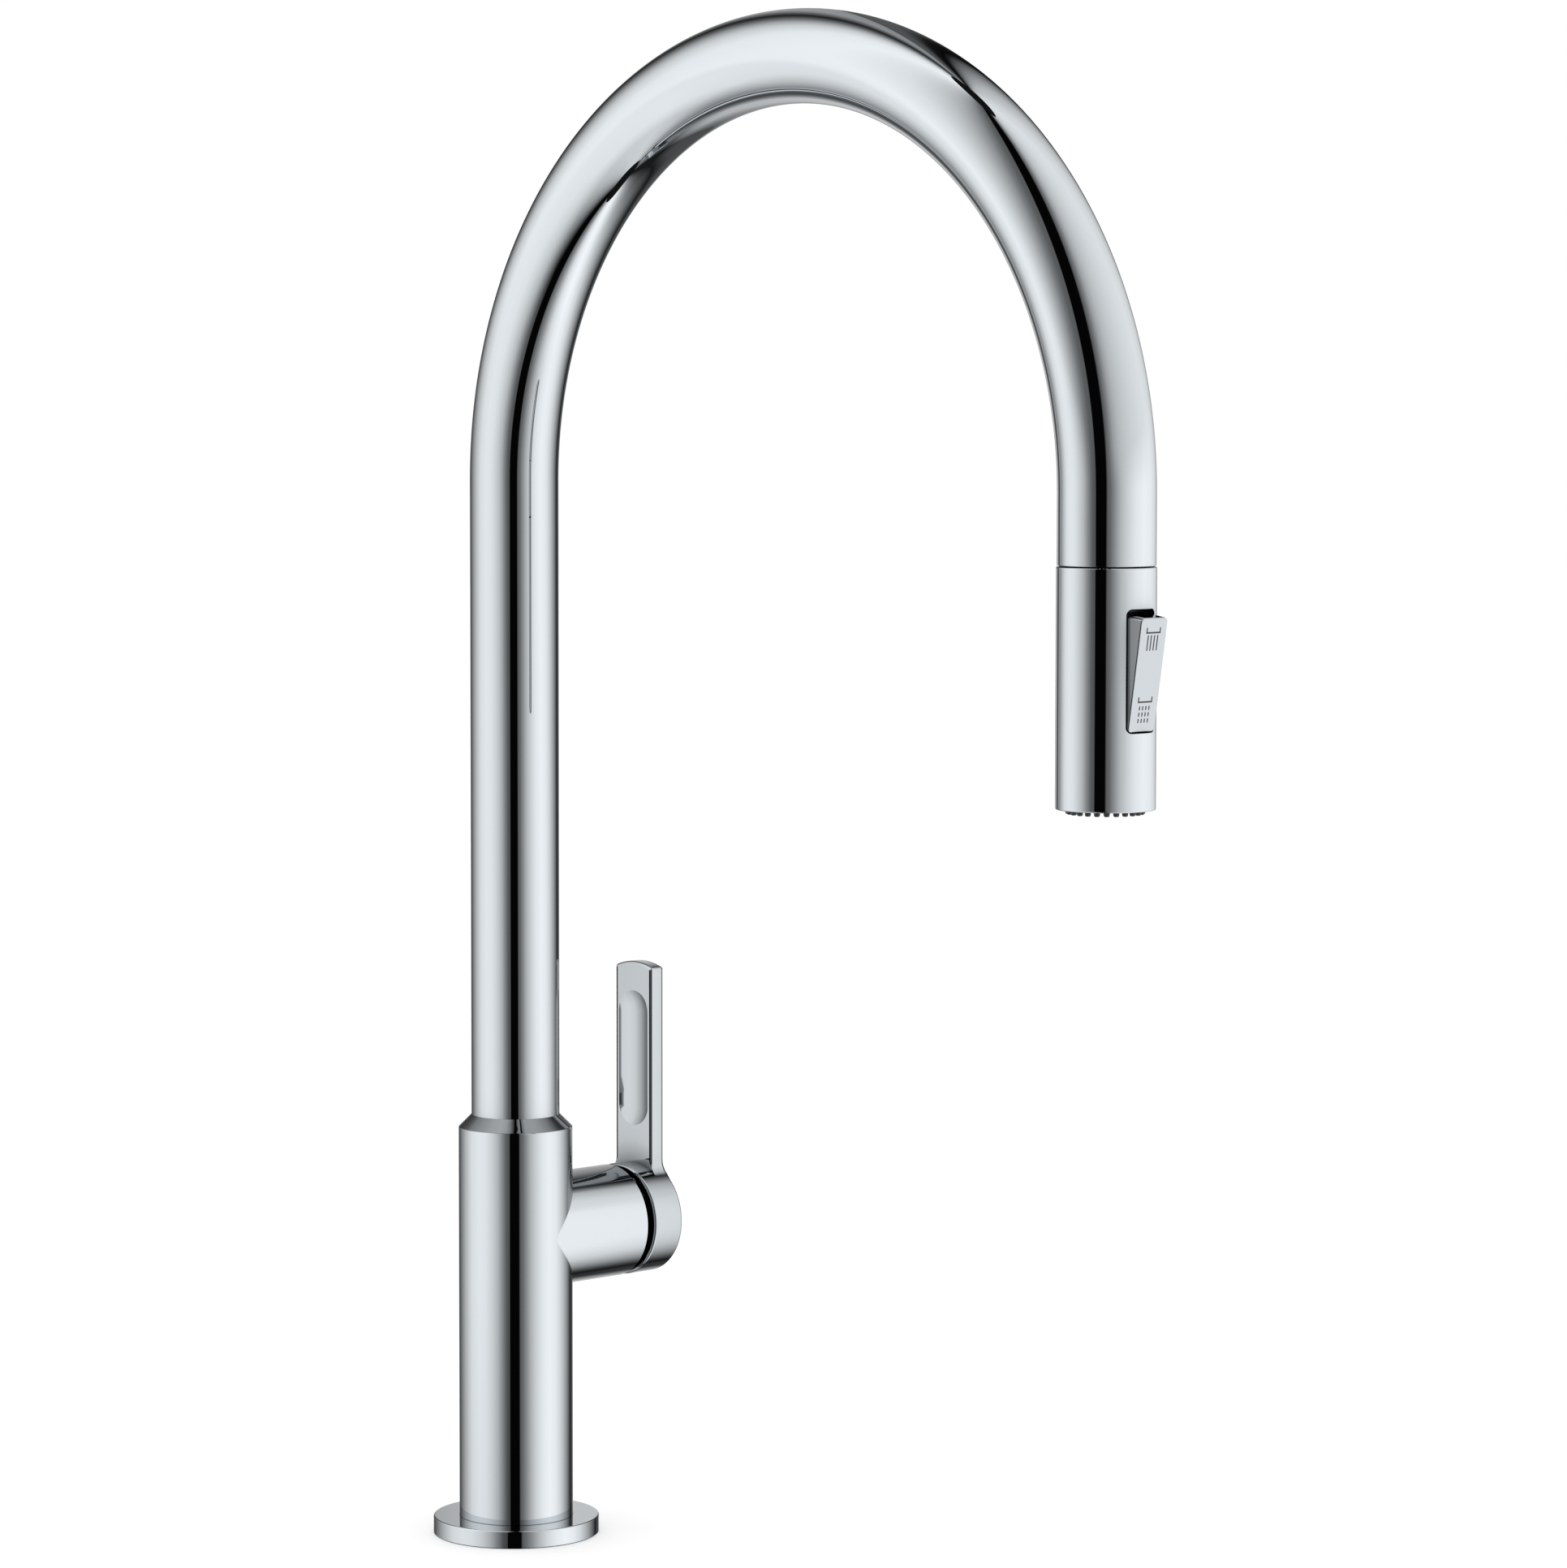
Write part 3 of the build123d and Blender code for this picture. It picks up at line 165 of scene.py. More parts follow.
def extrude(move):
    """In edit mode, extrudes what is selected by a move."""
    bpy.ops.mesh.extrude_region_move(TRANSFORM_OT_translate={"value": tuple(move)})


def resize(factors, centre):
    """In edit mode, stretches what is selected away from a centre."""
    bpy.ops.transform.resize(value=factors, center_override=centre)


def add_circle(name, sides, radius, place, turn=(0, 0, 0), fill="NOTHING"):
    """A circle, or a filled disc, left in edit mode with everything selected."""
    clear_selection()
    bpy.ops.mesh.primitive_circle_add(
        vertices=sides, radius=radius, fill_type=fill, location=place, rotation=turn
    )
    piece = name_piece(name)
    bpy.ops.object.transform_apply(location=True, rotation=True)
    edit_all()
    return piece


def draw_section(name, points):
    """A chain of edges through the points, drawn by extruding one vertex, and left in edit mode."""
    clear_selection()
    bpy.ops.mesh.primitive_plane_add(size=MM, location=points[0])
    piece = name_piece(name)
    bpy.ops.object.transform_apply(location=True)
    edit_all()
    bpy.ops.mesh.select_mode(type="VERT")
    bpy.ops.mesh.merge(type="CENTER")
    for start, end in zip(points, points[1:]):
        extrude(Vector(end) - Vector(start))
    return piece


def half_section(radii_and_heights, centre=(0, 0)):
    """Points of a turned piece's half section, as places to the right of the axis at centre."""
    return [(centre[0] + radius, centre[1], z) for radius, z in radii_and_heights]


def turn_section(name, radii_and_heights, centre=(0, 0), steps=96):
    """A solid of revolution: a closed section, drawn and spun once round an upright axis."""
    points = half_section(radii_and_heights, centre)
    piece = draw_section(name, points + points[:1])
    edit_all()
    axis_place = Vector((centre[0], centre[1], 0))
    bpy.ops.mesh.spin(steps=steps, angle=FULL_TURN, center=axis_place, axis=(0, 0, 1))
    close_mesh()
    return settle(piece)


def close_mesh():
    """Closes a shape's seams, points its faces outwards and leaves edit mode."""
    edit_all()
    bpy.ops.mesh.remove_doubles(threshold=NEAR / 2)
    bpy.ops.mesh.normals_make_consistent(inside=False)
    bpy.ops.mesh.select_all(action="DESELECT")
    set_mode("OBJECT")


def settle(piece, smooth_degrees=35):
    """Puts the piece's place into its mesh, and shades it smooth up to an angle."""
    take_up(piece)
    bpy.ops.object.transform_apply(location=True, rotation=True, scale=True)
    bpy.ops.object.shade_smooth_by_angle(angle=math.radians(smooth_degrees))
    return piece


def apply_modifiers(piece):
    take_up(piece)
    for modifier in list(piece.modifiers):
        bpy.ops.object.modifier_apply(modifier=modifier.name)


def select_none(kind):
    """In edit mode, clears the selection for a choice of edges or faces."""
    bpy.ops.mesh.select_mode(type=kind)
    bpy.ops.mesh.select_all(action="DESELECT")


def select_edges(piece, test, least_turn=0.0):
    """In edit mode, selects edges whose ends pass the test and whose faces turn by enough."""
    select_none("EDGE")
    set_mode("OBJECT")
    places = [piece.matrix_world @ vertex.co for vertex in piece.data.vertices]
    normals = {}
    for face in piece.data.polygons:
        for key in face.edge_keys:
            normals.setdefault(key, []).append(face.normal.copy())
    for edge in piece.data.edges:
        sides = normals[edge.key]
        turn = sides[0].angle(sides[-1])
        edge.select = turn >= least_turn and all(test(places[end]) for end in edge.vertices)
    set_mode("EDIT")


def select_faces(piece, test):
    """In edit mode, selects the faces whose centre and normal pass the test."""
    select_none("FACE")
    set_mode("OBJECT")
    for face in piece.data.polygons:
        face.select = test(piece.matrix_world @ face.center, face.normal)
    set_mode("EDIT")


def carve(piece, tool, operation="DIFFERENCE"):
    """Cuts the tool's shape out of the piece, or adds it, and uses the tool up."""
    modifier = piece.modifiers.new("carve", "BOOLEAN")
    modifier.operation = operation
    modifier.solver = "EXACT"
    modifier.object = tool
    apply_modifiers(piece)
    take_up(tool)
    bpy.ops.object.delete()
    return take_up(piece)


def even_normals(piece):
    """Keeps flat faces flat to the eye beside their rounded edges."""
    modifier = piece.modifiers.new("normals", "WEIGHTED_NORMAL")
    modifier.keep_sharp = True
    apply_modifiers(piece)


def copy_piece(piece, move=(0, 0, 0)):
    """A copy with its own mesh, moved from where the first one is."""
    take_up(piece)
    bpy.ops.object.duplicate(linked=False)
    bpy.ops.transform.translate(value=move)
    return bpy.context.object


def join_pieces(pieces, name):
    clear_selection()
    for piece in pieces:
        piece.select_set(True)
    bpy.context.view_layer.objects.active = pieces[0]
    bpy.ops.object.join()
    return name_piece(name)


# Material nodes


class Finish:
    """A material that is built node by node."""

    # Places of the colours among a mix node's inputs, and of their mix among its outputs
    mix_inputs, mix_output = (6, 7), 2

    def __init__(self, name):
        self.material = bpy.data.materials.new(name)
        self.material.use_nodes = True
        self.tree = self.material.node_tree
        self.shader = self.tree.nodes["Principled BSDF"]
        coordinates = self.tree.nodes.new("ShaderNodeTexCoord")
        self.place = coordinates.outputs["Object"]

    def add(self, kind, settings=(), **inputs):
        """Adds a node, sets its settings, and links or sets its inputs by name."""
        node = self.tree.nodes.new("ShaderNode" + kind)
        for name, value in dict(settings).items():
            setattr(node, name, value)
        for name, value in inputs.items():
            self.feed(node.inputs[name.replace("_", " ")], value)
        return node

    def feed(self, socket, value):
        if isinstance(value, bpy.types.NodeSocket):
            self.tree.links.new(value, socket)
        else:
            socket.default_value = value

    def set(self, **values):
        """Sets or links the shader's own sockets."""
        for name, value in values.items():
            self.feed(self.shader.inputs[name.replace("_", " ")], value)

    def stretched(self, scale):
        """Object coordinates, scaled by direction."""
        return self.add("Mapping", Vector=self.place, Scale=scale).outputs["Vector"]

    def noise(self, scale, detail=4.0, roughness=0.5, place=None):
        vector = place if place is not None else self.place
        node = self.add("TexNoise", Vector=vector, Scale=scale, Detail=detail, Roughness=roughness)
        return node.outputs["Fac"]

    def range(self, value, low, high, from_low=0.0, from_high=1.0):
        """Turns a value between from_low and from_high into one between low and high."""
        node = self.add(
            "MapRange", Value=value, From_Min=from_low, From_Max=from_high, To_Min=low, To_Max=high
        )
        return node.outputs["Result"]

    def between(self, share, first, second):
        """A colour between two, by a share that varies over the surface."""
        node = self.add("Mix", {"data_type": "RGBA"})
        self.feed(node.inputs["Factor"], share)
        for number, colour in zip(self.mix_inputs, (first, second)):
            is_link = isinstance(colour, bpy.types.NodeSocket)
            self.feed(node.inputs[number], colour if is_link else (*colour, 1))
        return node.outputs[self.mix_output]

    def math(self, operation, first, second=0.0):
        node = self.add("Math", {"operation": operation})
        self.feed(node.inputs[0], first)
        self.feed(node.inputs[1], second)
        return node.outputs[0]

    def relief(self, height, strength, depth):
        """Raises or sinks the surface by a height pattern."""
        node = self.add("Bump", Height=height, Strength=strength, Distance=depth)
        return node.outputs["Normal"]


# Depths of the chrome's waves on castings, the tube, mouldings and the smoothest pieces
CAST_WAVES, TUBE_WAVES, MOULDED_WAVES, FINE_WAVES = (
    depth * MM for depth in (0.0010, 0.0008, 0.0012, 0.0006)
)
# Pieces whose chrome is a little darker than the rest: the moulded chrome a shade darker, and the
# lever and rocker darker as painted shade
MOULDED_SHADE, LEVER_PAINTED_SHADE, ROCKER_PAINTED_SHADE = 0.99, 0.84, 0.8
# Painted shade in nooks: how near a neighbour darkens the chrome, mostly, on the rocker and as a
# painted shadow line at the foot;
# how open it is where the painted shade is darkest and where it is clear; and the painted shade's
# darkest colour
PAINTED_NOOK_SHADE_REACH, ROCKER_PAINTED_NOOK_REACH, SEAM_PAINTED_SHADOW_REACH = 12 * MM, 7 * MM, 0.4 * MM
PAINTED_NOOK_SHADE_OPENNESS = (0.3, 0.95)
PAINTED_NOOK_SHADE_COLOUR = (0.02, 0.022, 0.025)
PAINTED_NOOK_SHADE_SAMPLES = 12
# Painted dark reflection on faces that would mirror the dark: what is left of their colour, and
# where they start and end: below the column's top, out from its side, above the axle, and in from
# the rocker's side
PAINTED_REFLECTION_SHADE = 0.42
SHOULDER_DROP, SHOULDER_BLEND = 4.05 * MM, 0.15 * MM
BARREL_BLEND = 0.1 * MM
CREST_START, CREST_END = 12.9 * MM, 14.2 * MM
SIDE_START, SIDE_END = 0.3 * MM, 0.1 * MM


def shade(colour, factor):
    """A colour made darker or lighter by a factor."""
    return tuple(min(1.0, part * factor) for part in colour)


def chrome(name, tint, dullness, waviness, painted_reflection_mask=None, reach=PAINTED_NOOK_SHADE_REACH):
    """Mirror chrome: faint smears, a surface not quite flat, a painted dark reflection on chosen
    faces, and painted shade in the nooks where pieces meet.
    """
    finish = Finish(name)
    smears = finish.noise(26.0, detail=6.0, roughness=0.62)
    cloud = finish.noise(9.0, detail=2.0)
    colour_before_nook_shade = finish.between(cloud, shade(tint, 0.985), shade(tint, 1.01))
    # Painted reflection: the chosen faces are painted darker, for the dark that they would mirror
    if painted_reflection_mask is not None:
        colour_before_nook_shade = finish.between(painted_reflection_mask(finish), colour_before_nook_shade, shade(tint, PAINTED_REFLECTION_SHADE))
    # Painted shade: ambient occlusion blends the colour to a near-black in nooks and where pieces
    # meet
    painted_nook_shade = finish.add("AmbientOcclusion", {"samples": PAINTED_NOOK_SHADE_SAMPLES}, Distance=reach)
    unshaded_share = finish.range(painted_nook_shade.outputs["AO"], 0.0, 1.0, *PAINTED_NOOK_SHADE_OPENNESS)
    finish.set(
        Base_Color=finish.between(unshaded_share, PAINTED_NOOK_SHADE_COLOUR, colour_before_nook_shade),
        Metallic=1.0,
        Roughness=finish.range(smears, dullness * 0.6, dullness * 1.5, 0.3, 0.72),
        Normal=finish.relief(finish.noise(55.0, detail=1.0), 0.5, waviness),
    )
    return finish.material


def painted_shoulder_and_crest_reflection(finish):
    """The body's upward faces, its shoulder and the barrel's crest, painted darker as a painted
    reflection of the dark above.
    """
    height = finish.add("SeparateXYZ", Vector=finish.place).outputs["Z"]
    shoulder = COLUMN_HIGH.z - SHOULDER_DROP
    on_cone = finish.range(height, 0.0, 1.0, shoulder, shoulder + SHOULDER_BLEND)
    from_axis = finish.add(
        "VectorMath", {"operation": "LENGTH"}, Vector=finish.stretched((1, 1, 0))
    ).outputs["Value"]
    on_barrel = finish.range(from_axis, 0.0, 1.0, COLUMN_R, COLUMN_R + BARREL_BLEND)
    crest = finish.range(height, 0.0, 1.0, AXLE_Z + CREST_START, AXLE_Z + CREST_END)
    return finish.math("MAXIMUM", on_cone, finish.math("MULTIPLY", on_barrel, crest))


def painted_rocker_side_reflection(finish):
    """The rocker's two sides, painted darker as a painted reflection of the dark slot."""
    across = finish.add("SeparateXYZ", Vector=finish.place).outputs["X"]
    off_centre = finish.math("ABSOLUTE", across)
    start, end = ROCKER_HALF_W - SIDE_START, ROCKER_HALF_W - SIDE_END
    return finish.range(off_centre, 0.0, 1.0, start, end)


def machined_brass(name, tint):
    """Turned brass: fine tool marks and a little tarnish."""
    finish = Finish(name)
    tool_marks = finish.noise(60.0, detail=3.0, place=finish.stretched((1, 1, 60)))
    tarnish = finish.noise(70.0, detail=5.0)
    finish.set(
        Base_Color=finish.between(tarnish, shade(tint, 0.78), tint),
        Metallic=1.0,
        Roughness=finish.range(tool_marks, 0.22, 0.42),
        Normal=finish.relief(tool_marks, 0.35, 0.02 * MM),
    )
    return finish.material


def plain_steel(name, tint):
    """Rolled stainless: long brushed lines."""
    finish = Finish(name)
    lines = finish.noise(240.0, detail=3.0, place=finish.stretched((0.04, 1, 1)))
    finish.set(
        Base_Color=finish.between(lines, shade(tint, 0.85), tint),
        Metallic=1.0,
        Roughness=finish.range(lines, 0.24, 0.4),
        Normal=finish.relief(lines, 0.25, 0.01 * MM),
    )
    return finish.material


def moulded(name, tint, dullness, grain_scale, grain_depth, mottle=0.85):
    """Moulded plastic or rubber: a fine grain and slightly uneven colour."""
    finish = Finish(name)
    grain = finish.noise(grain_scale, detail=3.0)
    cloud = finish.noise(60.0, detail=2.0)
    finish.set(
        Base_Color=finish.between(cloud, shade(tint, mottle), tint),
        Roughness=finish.range(grain, dullness * 0.85, min(1.0, dullness * 1.15)),
        Normal=finish.relief(grain, 0.6, grain_depth),
    )
    return finish.material


def lapped_ceramic(name, tint):
    """Alumina discs: pale, lapped to a soft gloss, with faint specks."""
    finish = Finish(name)
    specks = finish.noise(1500.0, detail=2.0)
    finish.set(
        Base_Color=finish.between(specks, shade(tint, 0.93), tint),
        Roughness=finish.range(specks, 0.12, 0.24),
        Subsurface_Weight=0.05,
        Subsurface_Scale=0.6 * MM,
    )
    return finish.material


def woven_sleeve(name, tint, pitch, yarns=12.0):
    """A braided hose sleeve: two sets of yarns that cross as they climb round the hose."""
    finish = Finish(name)
    centred = finish.add("Mapping", Vector=finish.place, Location=(0, -HEAD_Y, 0))
    parts = finish.add("SeparateXYZ", Vector=centred.outputs["Vector"])
    angle = finish.math("ARCTAN2", parts.outputs["Y"], parts.outputs["X"])
    turns = finish.math("MULTIPLY", angle, yarns)
    climb = finish.math("MULTIPLY", parts.outputs["Z"], FULL_TURN / pitch)
    right = finish.math("SINE", finish.math("ADD", turns, climb))
    left = finish.math("SINE", finish.math("SUBTRACT", turns, climb))
    weave = finish.math("MULTIPLY", right, left)
    height = finish.range(weave, 0.0, 1.0, -1.0, 1.0)
    finish.set(
        Base_Color=finish.between(height, shade(tint, 0.45), tint),
        Roughness=finish.range(height, 0.62, 0.42),
        Normal=finish.relief(height, 0.8, 0.25 * MM),
    )
    return finish.material


# What a user would change


def length(name, description, default):
    return FloatProperty(
        name=name, description=description, default=default, min=0.0, precision=5, unit="LENGTH"
    )


def position(name, description, default):
    return FloatProperty(name=name, description=description, default=default, unit="LENGTH")


def colour(name, description, default):
    return FloatVectorProperty(
        name=name,
        description=description,
        default=default,
        subtype="COLOR",
        size=3,
        min=0.0,
        max=1.0,
    )


class FaucetSizes(bpy.types.PropertyGroup):
    """Sizes of the modelled pieces."""

    tube_wall: length("Tube wall", "Wall of the bent spout tube", 1.5 * MM)
    tube_lip: length("Tube lip", "Round on the spout's open edge", 0.25 * MM)
    ring_edge: length("Ring edge", "Round on the base ring's upper edge", 0.5 * MM)
    nub_radius: length("Nub radius", "Radius of one silicone spray nub", 0.9 * MM)
    nub_circle: length("Nub circle", "Radius of the circle that the nubs stand on", 10.4 * MM)
    nub_count: IntProperty(
        name="Nubs", description="How many spray nubs there are", default=24, min=3
    )
    blade_rise: length("Blade rise", "Height of the lever's blade above its axle", 83.4 * MM)
    blade_half_width: length("Blade half width", "Half the width of the lever's blade", 8.6 * MM)
    blade_thickness: length("Blade thickness", "Thickness of the lever's blade", 5.3 * MM)
    blade_crown: length("Blade crown", "Rise of the blade's arched top", 1.67 * MM)
    lever_edge: length("Lever edge", "Round on the lever's edges", 0.9 * MM)
    dish_half_width: length("Dish half width", "Half the width of the lever's thumb dish", 7.0 * MM)
    dish_depth: length("Dish depth", "Depth of the lever's thumb dish", 1.4 * MM)
    dish_height: length("Dish height", "Height of the lever's thumb dish", 43.9 * MM)
    dish_centre: length("Dish centre", "Height of the dish's middle above the axle", 51.9 * MM)
    cell_width: length("Aerator cell", "Width across one cell of the aerator's honeycomb", 1.3 * MM)
    thread_pitch: length("Thread pitch", "Rise of the shank's thread in one turn", 1.5 * MM)
    sign_line: length("Sign line", "Width of the lines in the rocker's spray signs", 0.5 * MM)


class FaucetFinishes(bpy.types.PropertyGroup):
    """Colours and gloss of the finishes."""

    chrome: colour("Chrome", "Reflection colour of the chrome", (0.568, 0.600, 0.624))
    chrome_dullness: FloatProperty(
        name="Chrome dullness",
        description="Average roughness of the chrome",
        default=0.012,
        min=0.0,
        max=1.0,
        subtype="FACTOR",
    )
    brass: colour("Brass", "Colour of the machined brass", (0.72, 0.53, 0.26))
    steel: colour("Steel", "Colour of the stainless parts", (0.58, 0.59, 0.60))
    silicone: colour("Silicone", "Colour of the spray nubs", (0.030, 0.031, 0.034))
    rubber: colour("Rubber", "Colour of the seals and gaskets", (0.022, 0.022, 0.024))
    white_plastic: colour("White plastic", "Colour of the acetal parts", (0.76, 0.76, 0.73))
    black_plastic: colour(
        "Black plastic", "Colour of the black moulded parts", (0.018, 0.018, 0.020)
    )
    ceramic: colour("Ceramic", "Colour of the cartridge discs", (0.84, 0.83, 0.80))
    sleeve: colour("Hose sleeve", "Colour of the hose's woven sleeve", (0.16, 0.165, 0.175))
    sign: colour("Signs", "Colour of the rocker's spray signs", (0.035, 0.037, 0.042))


class FaucetStudio(bpy.types.PropertyGroup):
    """The studio round the faucet."""

    tent_radius: length("Tent radius", "Radius of the light tent", 0.4986)
    tent_x: position("Tent X", "Place of the tent's axis from side to side", -0.1011)
    tent_y: position("Tent Y", "Place of the tent's axis from front to back", -0.2643)
    tent_low: position("Tent foot", "Height of the tent's foot", -4.0)
    tent_high: position("Tent top", "Height of the tent's top", 5.4)
    tent_bulge: FloatProperty(
        name="Tent bulge",
        description="Stretch of the tent's back, which leaves the spout room to turn",
        default=1.35,
        min=1.0,
    )
    lens: FloatProperty(
        name="Lens", description="Focal length in millimetres", default=120.14, min=1.0
    )
    floor: colour("Floor", "Colour of the floor", (0.93, 0.93, 0.93))


# Pieces


class FAUCET_OT_spout(bpy.types.Operator):
    """Bends the spout tube: a circle drawn up from the column, over the arc and down to the head"""

    bl_idname = "faucet.spout"
    bl_label = "Spout Tube"
    tube_sides = 112
    arc_steps = 120

    def execute(self, context):
        sizes = context.scene.faucet_sizes
        mouth_z = HEAD_HIGH.z + SEAM_GAP
        tube = add_circle("spout_arc", self.tube_sides, TUBE_R, (0, 0, TUBE_LOW.z))
        extrude((0, 0, SPRING_Z - TUBE_LOW.z))
        bpy.ops.mesh.spin(
            steps=self.arc_steps, angle=-math.pi, center=(0, -ARC_R, SPRING_Z), axis=(1, 0, 0)
        )
        extrude((0, 0, mouth_z - SPRING_Z))
        close_mesh()
        wall = tube.modifiers.new("wall", "SOLIDIFY")
        wall.thickness = sizes.tube_wall
        wall.offset = -1.0
        wall.use_even_offset = True
        apply_modifiers(tube)
        set_mode("EDIT")
        inner = TUBE_R - sizes.tube_wall / 2
        select_edges(
            tube,
            lambda place: abs(place.z - mouth_z) < NEAR
            and place.y < HEAD_Y / 2
            and math.hypot(place.x, place.y - HEAD_Y) > inner,
        )
        bpy.ops.mesh.bevel(offset=sizes.tube_lip, segments=3, affect="EDGES")
        settle(tube)
        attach(tube, "spout")
        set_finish(tube, "chrome_tube")
        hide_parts("spout_tube")
        return {"FINISHED"}


class FAUCET_OT_base_ring(bpy.types.Operator):
    """Turns the base ring, with its rounded edge and the recesses for the collar and gasket"""

    bl_idname = "faucet.base_ring"
    bl_label = "Base Ring"
    bore_play = 0.3 * MM
    gasket_width = 3.5 * MM
    round_steps = 5
    ring_sides = 160

    def execute(self, context):
        edge = context.scene.faucet_sizes.ring_edge
        outer, top = RING_HIGH.x, RING_HIGH.z
        collar_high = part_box("centering_collar")[1]
        gasket_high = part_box("base_gasket")[1]
        bore = SHANK_HIGH.x + self.bore_play
        recess = collar_high.x + FIT_PLAY
        groove_in = gasket_high.x - self.gasket_width - FIT_PLAY
        groove_out = gasket_high.x + FIT_PLAY
        section = [(bore, top)]
        for step in range(self.round_steps + 1):
            angle = math.pi / 2 * step / self.round_steps
            section.append(
                (outer - edge + edge * math.sin(angle), top - edge + edge * math.cos(angle))
            )
        section += [
            (outer, edge / 2),
            (outer - edge / 2, 0),
            (groove_out, 0),
            (groove_out, gasket_high.z),
            (groove_in, gasket_high.z),
            (groove_in, 0),
            (recess, 0),
            (recess, collar_high.z),
            (bore, collar_high.z),
        ]
        ring = turn_section("escutcheon", section, steps=self.ring_sides)
        even_normals(ring)
        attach(ring, "column")
        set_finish(ring, "chrome_brass")
        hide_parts("base_ring")
        return {"FINISHED"}


class FAUCET_OT_lever(bpy.types.Operator):
    """Grows the lever's blade out of its disc, hollows the disc and dishes the inner face"""

    bl_idname = "faucet.lever"
    bl_label = "Lever"
    # Sides of the disc, and sides and steps of the blade's round root
    disc_sides = 176
    root_sides = 18
    root_steps = 8
    # The hollow behind the disc's face and the hub in it
    wall = 2.2 * MM
    face_thickness = 3.2 * MM
    hub_r = 7.5 * MM
    hub_setback = 0.9 * MM
    least_turn = math.radians(40)  # of the edges that are rounded
    # The screw's boss and the stem's square socket
    boss_setback = 1.5 * MM
    boss_half_w = 4 * MM
    socket_half_w = 3.5 * MM + 2 * FIT_PLAY

    def execute(self, context):
        sizes = context.scene.faucet_sizes
        self.blade_x = LEVER_HIGH.x - sizes.blade_thickness
        lever = self.add_disc()
        self.grow_blade(lever, sizes)
        self.hollow_disc(lever)
        self.round_edges(lever, sizes)
        self.fit_to_stem(lever)
        carve(lever, self.dish_tool(sizes))
        settle(lever)
        self.keep_dish_crisp(lever, sizes)
        even_normals(lever)
        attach(lever, "handle")
        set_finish(lever, "chrome_brass")
        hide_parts("lever_handle")
        return {"FINISHED"}

    def add_disc(self):
        """The disc, in two layers: the blade grows from the outer one."""
        place, turn = (LEVER_LOW.x, 0, AXLE_Z), (0, math.pi / 2, 0)
        lever = add_circle("swing_lever", self.disc_sides, DISC_R, place, turn, "NGON")
        for depth in (self.blade_x - LEVER_LOW.x, LEVER_HIGH.x - self.blade_x):
            extrude((depth, 0, 0))
        return lever

    def grow_blade(self, lever, sizes):
        """Draws the blade up from the disc's rim, drawing it in along a round root."""
        root_angle = FULL_TURN * self.root_sides / self.disc_sides
        half = sizes.blade_half_width

        def on_rim(place, normal):
            angle = math.atan2(abs(place.y), place.z - AXLE_Z)
            return place.x > self.blade_x and abs(normal.x) < 0.5 and angle < root_angle

        select_faces(lever, on_rim)
        rim_y, rim_z = DISC_R * math.sin(root_angle), DISC_R * math.cos(root_angle)
        round_r = (rim_y - half) / (1 - math.sin(root_angle))
        round_z = (DISC_R + round_r) * math.cos(root_angle)
        first_y, first_z = rim_y, rim_z
        for step in range(self.root_steps):
            lean = (math.pi / 2 - root_angle) * (1 - (step + 1) / self.root_steps)
            next_y = half + round_r * (1 - math.cos(lean))
            next_z = round_z - round_r * math.sin(lean)
            extrude((0, 0, next_z - first_z))
            resize((1, next_y / first_y, 1), (0, 0, AXLE_Z + next_z))
            first_y, first_z = next_y, next_z
        top = DISC_R + first_z - rim_z
        extrude((0, 0, sizes.blade_rise - top))
        flatter = sizes.blade_crown / (DISC_R - rim_z)
        resize((1, 1, flatter), (0, 0, AXLE_Z + sizes.blade_rise))

    def hollow_disc(self, lever):
        """Sinks the disc's back and leaves a hub in its middle."""
        select_faces(lever, lambda place, normal: place.x < LEVER_LOW.x + NEAR)
        bpy.ops.mesh.inset(thickness=self.wall)
        sink = LEVER_HIGH.x - self.face_thickness - LEVER_LOW.x
        extrude((sink, 0, 0))
        bpy.ops.mesh.inset(thickness=DISC_R - self.wall - self.hub_r)
        extrude((self.hub_setback - sink, 0, 0))
        close_mesh()

    def round_edges(self, lever, sizes):
        """Rounds the outline of the disc and blade, as far down the inner face as it has room."""

        def on_outline(place):
            from_axle = math.hypot(place.y, place.z - AXLE_Z)
            if abs(place.x - self.blade_x) < NEAR:
                return from_axle > DISC_R + sizes.lever_edge
            return from_axle > DISC_R - NEAR

        set_mode("EDIT")
        select_edges(lever, on_outline, self.least_turn)
        bpy.ops.mesh.bevel(offset=sizes.lever_edge, segments=5, affect="EDGES", clamp_overlap=False)
        bpy.ops.mesh.select_all(action="DESELECT")
        set_mode("OBJECT")

    def fit_to_stem(self, lever):
        """Gives the hub its square socket, and the boss and holes of the set screw and its plug."""
        screw_low, screw_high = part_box("handle_set_screw")
        plug_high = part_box("handle_plug")[1]
        hub_x = LEVER_LOW.x + self.hub_setback
        hub_end = LEVER_HIGH.x - self.face_thickness
        boss_x = (hub_x + self.boss_setback, hub_end + MM)
        boss_y = (-self.boss_half_w, self.boss_half_w)
        boss_z = (AXLE_Z - DISC_R + self.wall / 2, AXLE_Z - self.hub_r / 2)
        carve(lever, self.block(boss_x, boss_y, boss_z), "UNION")
        half = self.socket_half_w
        socket = self.block((hub_x - MM, hub_end), (-half, half), (AXLE_Z - half, AXLE_Z + half))
        carve(lever, socket)
        screw_x = (screw_low.x + screw_high.x) / 2
        below = AXLE_Z - DISC_R - MM
        for radius, top in ((screw_high.y, AXLE_Z), (plug_high.y, plug_high.z)):
            place = (screw_x, 0, (top + below) / 2)
            clear_selection()
            bpy.ops.mesh.primitive_cylinder_add(
                vertices=64, radius=radius + FIT_PLAY, depth=top - below, location=place
            )
            carve(lever, name_piece("bore"))

